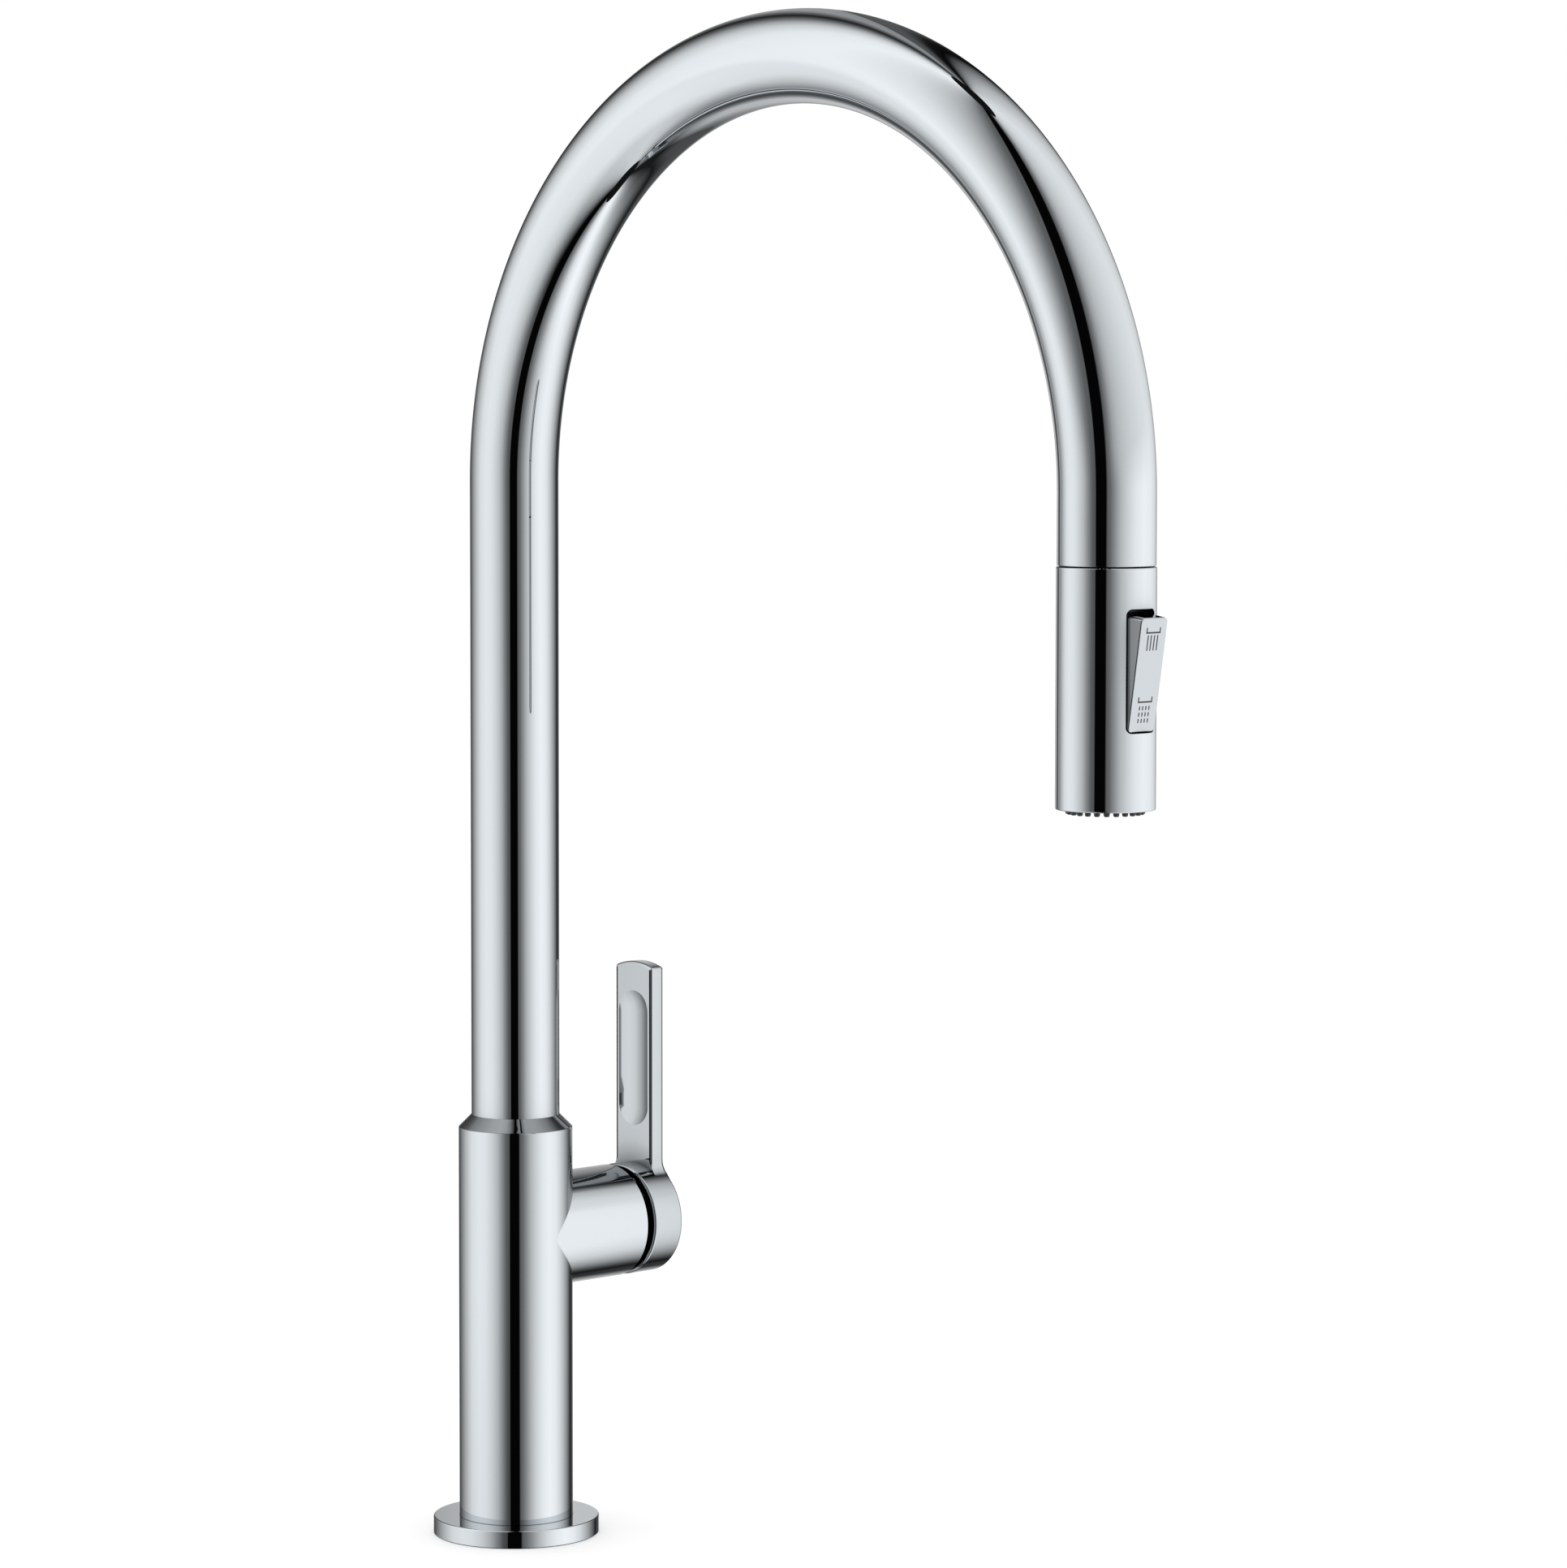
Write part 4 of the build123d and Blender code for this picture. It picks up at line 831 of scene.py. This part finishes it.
    def block(self, x_range, y_range, z_range):
        clear_selection()
        ranges = (x_range, y_range, z_range)
        bpy.ops.mesh.primitive_cube_add(size=1, location=[sum(ends) / 2 for ends in ranges])
        block = name_piece("block")
        block.scale = [ends[1] - ends[0] for ends in ranges]
        bpy.ops.object.transform_apply(location=True, scale=True)
        return block

    def dish_tool(self, sizes):
        """A long rounded form that sinks into the blade by the dish's depth."""
        half, depth = sizes.dish_half_width, sizes.dish_depth
        radius = (half**2 + depth**2) / (2 * depth)
        centre = Vector((self.blade_x + depth - radius, 0, AXLE_Z + sizes.dish_centre))
        stretch = sizes.dish_height - 2 * half
        clear_selection()
        bpy.ops.mesh.primitive_uv_sphere_add(
            segments=256, ring_count=128, radius=radius, location=centre
        )
        tool = name_piece("dish_tool")
        bpy.ops.object.transform_apply(location=True)
        set_mode("EDIT")
        for side in (1, -1):
            select_faces(tool, lambda place, normal: (place.z - centre.z) * side > 0)
            if side > 0:
                bpy.ops.mesh.split()
            bpy.ops.transform.translate(value=(0, 0, side * stretch / 2))
        select_none("EDGE")
        bpy.ops.mesh.select_non_manifold()
        bpy.ops.mesh.bridge_edge_loops()
        close_mesh()
        return tool

    def keep_dish_crisp(self, lever, sizes):
        """Marks the dish's rim as sharp, so that the flat face round it stays flat to the eye."""
        margin = MM / 10
        low = AXLE_Z + sizes.dish_centre - sizes.dish_height / 2 - margin
        high = AXLE_Z + sizes.dish_centre + sizes.dish_height / 2 + margin
        reach = sizes.dish_half_width + margin
        set_mode("EDIT")
        select_edges(
            lever,
            lambda place: abs(place.x - self.blade_x) < NEAR / 2
            and abs(place.y) < reach
            and low < place.z < high,
        )
        bpy.ops.mesh.mark_sharp()
        set_mode("OBJECT")


class FAUCET_OT_spray_face(bpy.types.Operator):
    """Makes the soft spray nubs on their mat, and the honeycomb in the stream's outlet"""

    bl_idname = "faucet.spray_face"
    bl_label = "Spray Face"
    # The mat, how deep the nubs are sunk in it, and their jets
    mat_hole_r = 7.2 * MM
    mat_thickness = 1.2 * MM
    nub_sunk = 0.6 * MM
    jet_r = 0.35 * MM
    # A nub's rounded end: shares of its radius, and heights above its tip
    nub_end = ((0.62, 0), (0.86, 0.16 * MM), (0.96, 0.42 * MM), (1, 1.2 * MM))
    # The honeycomb: its deep comb, the foot of the second one, the two thin ones, the rim, and
    # half a web as a share of a cell's width
    comb_depth = 1.2 * MM
    second_comb = 1.6 * MM
    thin_comb = 0.4 * MM
    rim_width = 0.7 * MM
    half_web_share = 0.09

    def execute(self, context):
        sizes = context.scene.faucet_sizes
        self.add_nubs(sizes)
        self.add_honeycomb(sizes)
        return {"FINISHED"}

    def add_nubs(self, sizes):
        """One nub is turned with a rounded tip and an open jet, then copied round the mat."""
        radius, jet, tip = sizes.nub_radius, self.jet_r, MAT_LOW.z
        root = MAT_HIGH.z - self.nub_sunk
        centre = (sizes.nub_circle, HEAD_Y)
        section = [(jet, tip)]
        section += [(radius * share, tip + rise) for share, rise in self.nub_end]
        section += [(radius, root), (jet, root)]
        nub = turn_section("nub", section, centre, steps=16)
        nubs = [nub]
        for number in range(1, sizes.nub_count):
            angle = FULL_TURN * number / sizes.nub_count
            x = sizes.nub_circle * math.cos(angle)
            y = sizes.nub_circle * math.sin(angle)
            nubs.append(copy_piece(nub, (x - sizes.nub_circle, y, 0)))
        mat_low = MAT_HIGH.z - self.mat_thickness
        mat = self.band("mat", self.mat_hole_r, MAT_HIGH.x, mat_low, MAT_HIGH.z, 64)
        face = settle(join_pieces([mat] + nubs, "spray_nubs"))
        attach(face, "spray_head")
        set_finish(face, "nozzle_silicone")
        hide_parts("silicone_nozzles")

    def add_honeycomb(self, sizes):
        """A deep comb at the outlet, with two thin ones above it that even out the flow."""
        combs = [self.comb(sizes, SCREEN_LOW.z, SCREEN_LOW.z + self.comb_depth)]
        for low in (SCREEN_LOW.z + self.second_comb, SCREEN_HIGH.z - self.thin_comb):
            combs.append(self.comb(sizes, low, low + self.thin_comb))
        honeycomb = settle(join_pieces(combs, "aerator_honeycomb"))
        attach(honeycomb, "spray_head")
        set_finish(honeycomb, "steel")
        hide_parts("aerator_screens")

    def band(self, name, inner, outer, low, high, steps):
        """A flat ring round the head's axis."""
        section = [(inner, low), (outer, low), (outer, high), (inner, high)]
        return turn_section(name, section, (0, HEAD_Y), steps)

    def comb(self, sizes, low, high):
        """A six-sided cell is inset and opened, copied over the outlet, deepened and rimmed."""
        width, outer = sizes.cell_width, SCREEN_HIGH.x
        corner = width / math.sqrt(3)
        cell = add_circle("cell", 6, corner, (0, HEAD_Y, low), fill="NGON")
        bpy.ops.mesh.inset(thickness=width * self.half_web_share)
        bpy.ops.mesh.delete(type="FACE")
        set_mode("OBJECT")
        cells = [cell]
        rows = int(outer / width) + 1
        for row in range(-rows, rows + 1):
            for column in range(-2 * rows, 2 * rows + 1):
                x = width * (column + row / 2)
                y = corner * 1.5 * row
                if (row, column) == (0, 0) or math.hypot(x, y) > outer - corner:
                    continue
                cells.append(copy_piece(cell, (x, y, 0)))
        comb = join_pieces(cells, "comb")
        edit_all()
        bpy.ops.mesh.remove_doubles(threshold=NEAR)
        extrude((0, 0, high - low))
        close_mesh()
        rim = self.band("rim", outer - self.rim_width, outer, low, high, 48)
        return join_pieces([comb, rim], "comb")


class FAUCET_OT_rocker_signs(bpy.types.Operator):
    """Draws the rocker's two signs: even jets at its upper end, a dotted spray at its lower end"""

    bl_idname = "faucet.rocker_signs"
    bl_label = "Rocker Signs"
    # Each sign: a foot with a horn at each end, and four columns; heights are above the pivot
    feet = (12.1 * MM, -7.6 * MM)
    foot_width = 5.9 * MM
    horn = 1.7 * MM
    column_spacing = 1.29 * MM
    jet_middle, jet_length = 9.2 * MM, 4.4 * MM
    dot_middles, dot_length = (-9.35 * MM, -11.15 * MM, -12.95 * MM), 1.2 * MM
    raised = 0.07 * MM
    # The rocker's face: its lean, its pivot in front of the head's axis and below the head's top,
    # how far it stands out from the pivot, and how deep the signs are sunk in it
    face_lean = math.radians(8.95)
    pivot_front = 9.5 * MM
    pivot_drop = 28.8 * MM
    face_out = 6.62 * MM
    sign_sunk = 0.02 * MM

    def execute(self, context):
        line = context.scene.faucet_sizes.sign_line
        bars = [self.bar(*measures) for measures in self.bars_of_signs(line)]
        self.place(join_pieces(bars, "rocker_signs"))
        return {"FINISHED"}

    def bars_of_signs(self, line):
        """Each bar as its centre across and up from the pivot, its width and its height."""
        span, horn = self.foot_width, self.horn
        bars = []
        for foot in self.feet:
            bars.append((0, foot, span, line))
            for side in (-1, 1):
                bars.append((side * (span - line) / 2, foot + (horn - line) / 2, line, horn))
        for column in (-1.5, -0.5, 0.5, 1.5):
            u = column * self.column_spacing
            bars.append((u, self.jet_middle, line, self.jet_length))
            for middle in self.dot_middles:
                bars.append((u, middle, line, self.dot_length))
        return bars

    def bar(self, u, v, width, height):
        """A short bar, from a small plate raised and softened along its rim."""
        clear_selection()
        bpy.ops.mesh.primitive_plane_add(size=1, location=(u, v, 0))
        bar = bpy.context.object
        bar.scale = (width, height, 1)
        bpy.ops.object.transform_apply(location=True, scale=True)
        edit_all()
        raised = self.raised
        extrude((0, 0, raised))
        resize((1 - 2 * raised / width, 1 - 2 * raised / height, 1), (u, v, raised))
        close_mesh()
        return bar

    def place(self, signs):
        """Lays the signs on the rocker's leaning face."""
        lean = self.face_lean
        pivot = Vector((0, HEAD_Y - self.pivot_front, HEAD_HIGH.z - self.pivot_drop))
        out = Vector((0, -math.cos(lean), -math.sin(lean)))
        signs.location = pivot + out * (self.face_out - self.sign_sunk)
        signs.rotation_euler = (math.pi / 2 + lean, 0, 0)
        settle(signs)
        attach(signs, "rocker")
        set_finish(signs, "black_plastic")


class FAUCET_OT_pull_out_hose(bpy.types.Operator):
    """Makes the sleeved hose in the spout's mouth"""

    bl_idname = "faucet.pull_out_hose"
    bl_label = "Pull-out Hose"
    hose_wall = 1.5 * MM
    sides = 32
    rings = 90

    def execute(self, context):
        low, high = HOSE_LOW.z, HOSE_HIGH.z
        hose = add_circle("sleeved_hose", self.sides, HOSE_HIGH.x, (0, HEAD_Y, low))
        for _ in range(self.rings):
            extrude((0, 0, (high - low) / self.rings))
        close_mesh()
        tube = hose.modifiers.new("wall", "SOLIDIFY")
        tube.thickness = self.hose_wall
        tube.offset = -1.0
        apply_modifiers(hose)
        settle(hose)
        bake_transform(hose)
        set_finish(hose, "hose")
        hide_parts("hose_outlet_run")
        return {"FINISHED"}


class FAUCET_OT_shank(bpy.types.Operator):
    """Turns the mounting shank and winds its thread round it"""

    bl_idname = "faucet.shank"
    bl_label = "Threaded Shank"
    shank_wall = 1.8 * MM
    thread_depth = 0.75 * MM
    chamfer = 0.8 * MM
    # Heights where the thread stops, and where the core widens above it
    thread_top = -4.6 * MM
    widening = (-5 * MM, -4.2 * MM)
    # The ridge: half the gap between its turns, half its crest, how far that stays below the
    # shank's full radius, and how deep its foot is sunk in the core
    half_gap = 0.08 * MM
    half_crest = 0.12 * MM
    crest_drop = 0.02 * MM
    foot_sunk = 0.1 * MM
    steps_a_turn = 48

    def execute(self, context):
        pitch = context.scene.faucet_sizes.thread_pitch
        crest = SHANK_HIGH.x
        root = crest - self.thread_depth
        bore = crest - self.shank_wall
        chamfer = self.chamfer
        low, high = SHANK_LOW.z, SHANK_HIGH.z
        section = [
            (bore, low),
            (root - chamfer / 2, low),
            (root, low + chamfer / 2),
            (root, self.widening[0]),
            (crest, self.widening[1]),
            (crest, high - chamfer),
            (crest - chamfer, high),
            (bore, high),
        ]
        core = turn_section("shank_core", section, steps=96)
        flank = pitch / 2 - self.half_gap
        start = low + chamfer
        foot, top = root - self.foot_sunk, crest - self.crest_drop
        section = [
            (foot, start - flank),
            (top, start - self.half_crest),
            (top, start + self.half_crest),
            (foot, start + flank),
        ]
        ridge = draw_section("ridge", half_section(section))
        edit_all()
        bpy.ops.mesh.edge_face_add()
        set_mode("OBJECT")
        winding = ridge.modifiers.new("winding", "SCREW")
        winding.screw_offset = pitch
        winding.iterations = int((self.thread_top - low - chamfer) / pitch)
        winding.steps = winding.render_steps = self.steps_a_turn
        winding.use_merge_vertices = True
        apply_modifiers(ridge)
        edit_all()
        bpy.ops.mesh.fill_holes(sides=4)
        close_mesh()
        shank = settle(join_pieces([core, ridge], "threaded_shank"), 30)
        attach(shank, "column")
        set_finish(shank, "brass")
        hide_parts("mounting_shank")
        return {"FINISHED"}


class FAUCET_OT_finishes(bpy.types.Operator):
    """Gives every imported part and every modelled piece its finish"""

    bl_idname = "faucet.finishes"
    bl_label = "Finishes"

    def execute(self, context):
        chosen = context.scene.faucet_finishes
        tint, dullness = chosen.chrome, chosen.chrome_dullness
        # Chrome: colour, dullness, depth of its waves, which faces get a painted dark reflection,
        # reach of its painted nook shade
        # Mouldings: colour, dullness, fineness and depth of their grain, and how mottled they are
        finishes = {
            "chrome_brass": chrome("chrome_cast", tint, dullness, CAST_WAVES),
            "chrome_tube": chrome("chrome_bent_tube", tint, dullness, TUBE_WAVES),
            "chrome_plastic": chrome(
                "chrome_moulded", shade(tint, MOULDED_SHADE), dullness * 1.1, MOULDED_WAVES
            ),
            "brass": machined_brass("turned_brass", chosen.brass),
            "steel": plain_steel("rolled_steel", chosen.steel),
            "black_rubber": moulded("seal_rubber", chosen.rubber, 0.62, 900.0, 0.02 * MM),
            "nozzle_silicone": moulded("nub_silicone", chosen.silicone, 0.42, 1400.0, 0.01 * MM),
            "white_plastic": moulded("acetal", chosen.white_plastic, 0.4, 1100.0, 0.01 * MM, 0.95),
            "black_plastic": moulded(
                "black_moulding", chosen.black_plastic, 0.45, 1100.0, 0.015 * MM
            ),
            "ceramic": lapped_ceramic("alumina", chosen.ceramic),
            "hose": woven_sleeve("hose_sleeve", chosen.sleeve, 5.2 * MM),
        }
        special = {
            "rocker_signs": moulded("sign_ink", chosen.sign, 0.5, 2000.0, 0.005 * MM),
            # Lever and rocker: darker copies of the chrome, as painted shade
            "swing_lever": chrome("chrome_lever_painted_shade", shade(tint, LEVER_PAINTED_SHADE), dullness, FINE_WAVES),
            # Rocker sides, and below the body's shoulder and barrel crest: painted dark reflection
            "rocker_button": chrome(
                "chrome_rocker_painted_shade",
                shade(tint, ROCKER_PAINTED_SHADE),
                dullness * 1.2,
                FINE_WAVES,
                painted_rocker_side_reflection,
                ROCKER_PAINTED_NOOK_REACH,
            ),
            # Body and ring: a thin painted shadow line where the column stands on the ring
            "body_column": chrome(
                "chrome_body_painted_shade", tint, dullness, CAST_WAVES, painted_shoulder_and_crest_reflection, SEAM_PAINTED_SHADOW_REACH
            ),
            "escutcheon": chrome("chrome_ring_painted_shade", tint, dullness, CAST_WAVES, None, SEAM_PAINTED_SHADOW_REACH),
            "head_inner_body": finishes["black_plastic"],
        }
        slot_of = {part["node"]: part["material_slot"] for part in frame["record"]["subparts"]}
        for name, node in frame["nodes"].items():
            for place in node.material_slots:
                place.material = special.get(name, finishes[slot_of[name]])
        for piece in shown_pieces():
            if "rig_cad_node" in piece:
                continue
            piece.data.materials.clear()
            piece.data.materials.append(special.get(piece.name, finishes[piece["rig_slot"]]))
        return {"FINISHED"}


# Brightness of the light tent by direction: degrees to the right of the camera's side, and greys
# from 0 to 255 as the chrome mirrors them below, level with the head, and above
TENT_GREYS = (
    (-180, 40, 85, 129), (-174, 85, 172, 140), (-168, 124, 180, 90), (-162, 105, 110, 25),
    (-157, 60, 60, 60), (-150, 85, 88, 108), (-142, 118, 132, 159), (-132, 152, 178, 201),
    (-118, 192, 220, 231), (-104, 207, 230, 239), (-90, 203, 226, 223), (-76, 188, 208, 195),
    (-62, 157, 182, 160), (-48, 116, 134, 120), (-36, 60, 89, 91), (-27, 10, 80, 87),
    (-25.5, 3, 3, 3), (2.5, 4, 3, 3), (4.5, 86, 82, 80), (14, 112, 104, 116), (26, 140, 142, 159),
    (40, 178, 180, 183), (58, 217, 208, 198), (78, 236, 230, 209), (100, 247, 240, 218),
    (120, 235, 233, 222), (136, 205, 212, 210), (150, 156, 170, 178), (160, 100, 120, 104),
    (165, 62, 80, 4), (170, 25, 20, 20), (175, 25, 70, 78),
)  # fmt: skip
# Heights between which the lower greys change to the level ones, and those to the upper ones
TENT_CHANGES = ((-0.35, 0.0), (0.34, 0.42))
CHROME_MIRRORS = 0.60  # share of the tent's light that the chrome gives back
CAMERA_SIDE = math.radians(-133.5)


class FAUCET_OT_studio(bpy.types.Operator):
    """Sets up the floor, the light tent, the white surround and the camera"""

    bl_idname = "faucet.studio"
    bl_label = "Studio"
    floor_size = 12.0
    floor_glow = 0.2
    tent_sides = 256
    # Strength of the surround for the eye and for mirrors
    surround = (1.0, 0.01)
    camera_place = (-1.07622, -1.25634, 0.36945)
    yaw, pitch, roll = 0.81103, -0.06357, 0.00114
    sensor_width = 36.0
    lens_shift = -0.05

    def execute(self, context):
        studio = context.scene.faucet_studio
        context.scene.view_settings.view_transform = "Standard"
        self.add_floor(studio)
        self.add_tent(studio)
        self.light_surround(context)
        self.add_camera(context, studio)
        return {"FINISHED"}

    def add_floor(self, studio):
        clear_selection()
        bpy.ops.mesh.primitive_plane_add(size=self.floor_size, location=(0, 0, 0))
        floor = name_piece("studio_floor")
        finish = Finish("pale_floor")
        finish.set(
            Base_Color=finish.between(finish.noise(3.0), shade(studio.floor, 0.985), studio.floor),
            Roughness=0.9,
            Emission_Color=(1, 1, 1, 1),
            Emission_Strength=self.floor_glow,
        )
        floor.data.materials.append(finish.material)
        floor.visible_glossy = False
        floor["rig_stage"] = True

    def add_tent(self, studio):
        """An upright drum of light, bright and dark by direction, that only mirrors see."""
        height = studio.tent_high - studio.tent_low
        middle = studio.tent_low + height / 2
        centre = (studio.tent_x, studio.tent_y, middle)
        clear_selection()
        bpy.ops.mesh.primitive_cylinder_add(
            vertices=self.tent_sides,
            radius=studio.tent_radius,
            depth=height,
            end_fill_type="NOTHING",
            location=centre,
        )
        tent = name_piece("light_tent")
        set_mode("EDIT")
        select_faces(tent, lambda place, normal: normal.y > 0)
        resize((1, studio.tent_bulge, 1), centre)
        set_mode("OBJECT")
        tent.visible_camera = False
        tent.visible_diffuse = False
        tent.visible_shadow = False
        tent.visible_transmission = False
        finish = Finish("tent_light")
        turned = finish.add(
            "VectorRotate", {"rotation_type": "Z_AXIS"}, Vector=finish.place, Angle=-CAMERA_SIDE
        )
        parts = finish.add("SeparateXYZ", Vector=turned.outputs["Vector"])
        angle = finish.math("ARCTAN2", parts.outputs["Y"], parts.outputs["X"])
        share = finish.range(angle, 0.0, 1.0, -math.pi, math.pi)
        low, level, high = (self.ramp(finish, share, column) for column in (1, 2, 3))
        light = low
        for upper, (start, end) in zip((level, high), TENT_CHANGES):
            blend = finish.range(parts.outputs["Z"], 0.0, 1.0, start - middle, end - middle)
            light = finish.between(blend, light, upper)
        finish.set(
            Base_Color=(0, 0, 0, 1),
            Specular_IOR_Level=0.0,
            Emission_Color=light,
            Emission_Strength=1.0,
        )
        tent.data.materials.append(finish.material)
        tent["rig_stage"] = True

    def ramp(self, finish, share, column):
        """A ramp of the tent's greys at one height."""
        node = finish.add("ValToRGB", Fac=share)
        stops = node.color_ramp.elements
        for number, row in enumerate(TENT_GREYS):
            turn = (row[0] + 180) / 360
            if number < len(stops):
                stop = stops[number]
                stop.position = turn
            else:
                stop = stops.new(turn)
            light = linear(row[column]) / CHROME_MIRRORS
            stop.color = (light, light, light, 1)
        return node.outputs["Color"]

    def light_surround(self, context):
        """White all round to the eye, and nearly black to mirrors that look past the tent."""
        world = bpy.data.worlds.new("white_surround")
        world.use_nodes = True
        tree = world.node_tree
        sky = tree.nodes["Background"]
        path = tree.nodes.new("ShaderNodeLightPath")
        strength = tree.nodes.new("ShaderNodeMapRange")
        for end, light in zip(("To Min", "To Max"), self.surround):
            strength.inputs[end].default_value = light
        tree.links.new(path.outputs["Is Glossy Ray"], strength.inputs["Value"])
        tree.links.new(strength.outputs["Result"], sky.inputs["Strength"])
        sky.inputs["Color"].default_value = (1, 1, 1, 1)
        context.scene.world = world

    def add_camera(self, context, studio):
        """Aims the camera by its yaw and pitch, and turns it by its roll, all in radians."""
        bpy.ops.object.camera_add(location=self.camera_place)
        camera = bpy.context.object
        camera.name = "studio_camera"
        flat = math.cos(self.pitch)
        aim = Vector((math.cos(self.yaw) * flat, math.sin(self.yaw) * flat, math.sin(self.pitch)))
        camera.rotation_mode = "QUATERNION"
        level = aim.to_track_quat("-Z", "Y")
        camera.rotation_quaternion = level @ Quaternion((0, 0, 1), self.roll)
        camera.data.sensor_width = self.sensor_width
        camera.data.lens = studio.lens
        camera.data.shift_y = self.lens_shift
        context.scene.camera = camera


def linear(grey):
    """Turns a display grey from 0 to 255 into the light that gives it."""
    return ((grey / 255 + 0.055) / 1.055) ** 2.4


class FAUCET_PT_panel(bpy.types.Panel):
    """Lists the faucet's pieces and what can be changed"""

    bl_label = "Pull Down Faucet"
    bl_idname = "FAUCET_PT_panel"
    bl_space_type = "VIEW_3D"
    bl_region_type = "UI"
    bl_category = "Faucet"

    def draw(self, context):
        layout = self.layout
        for operator in OPERATORS:
            layout.operator(operator.bl_idname)
        for group in ("faucet_sizes", "faucet_finishes", "faucet_studio"):
            settings = getattr(context.scene, group)
            for name in settings.bl_rna.properties.keys():
                if name not in ("rna_type", "name"):
                    layout.prop(settings, name)


OPERATORS = (
    FAUCET_OT_spout,
    FAUCET_OT_base_ring,
    FAUCET_OT_lever,
    FAUCET_OT_spray_face,
    FAUCET_OT_rocker_signs,
    FAUCET_OT_pull_out_hose,
    FAUCET_OT_shank,
    FAUCET_OT_finishes,
    FAUCET_OT_studio,
)
GROUPS = (FaucetSizes, FaucetFinishes, FaucetStudio)


def register():
    for item in GROUPS + OPERATORS + (FAUCET_PT_panel,):
        bpy.utils.register_class(item)
    bpy.types.Scene.faucet_sizes = PointerProperty(type=FaucetSizes)
    bpy.types.Scene.faucet_finishes = PointerProperty(type=FaucetFinishes)
    bpy.types.Scene.faucet_studio = PointerProperty(type=FaucetStudio)


def unregister():
    del bpy.types.Scene.faucet_studio
    del bpy.types.Scene.faucet_finishes
    del bpy.types.Scene.faucet_sizes
    for item in reversed(GROUPS + OPERATORS + (FAUCET_PT_panel,)):
        bpy.utils.unregister_class(item)


def main():
    register()
    bpy.ops.faucet.spout()
    bpy.ops.faucet.base_ring()
    bpy.ops.faucet.lever()
    bpy.ops.faucet.spray_face()
    bpy.ops.faucet.rocker_signs()
    bpy.ops.faucet.pull_out_hose()
    bpy.ops.faucet.shank()
    bpy.ops.faucet.finishes()
    bpy.ops.faucet.studio()
    clear_selection()


if __name__ == "__main__":
    main()
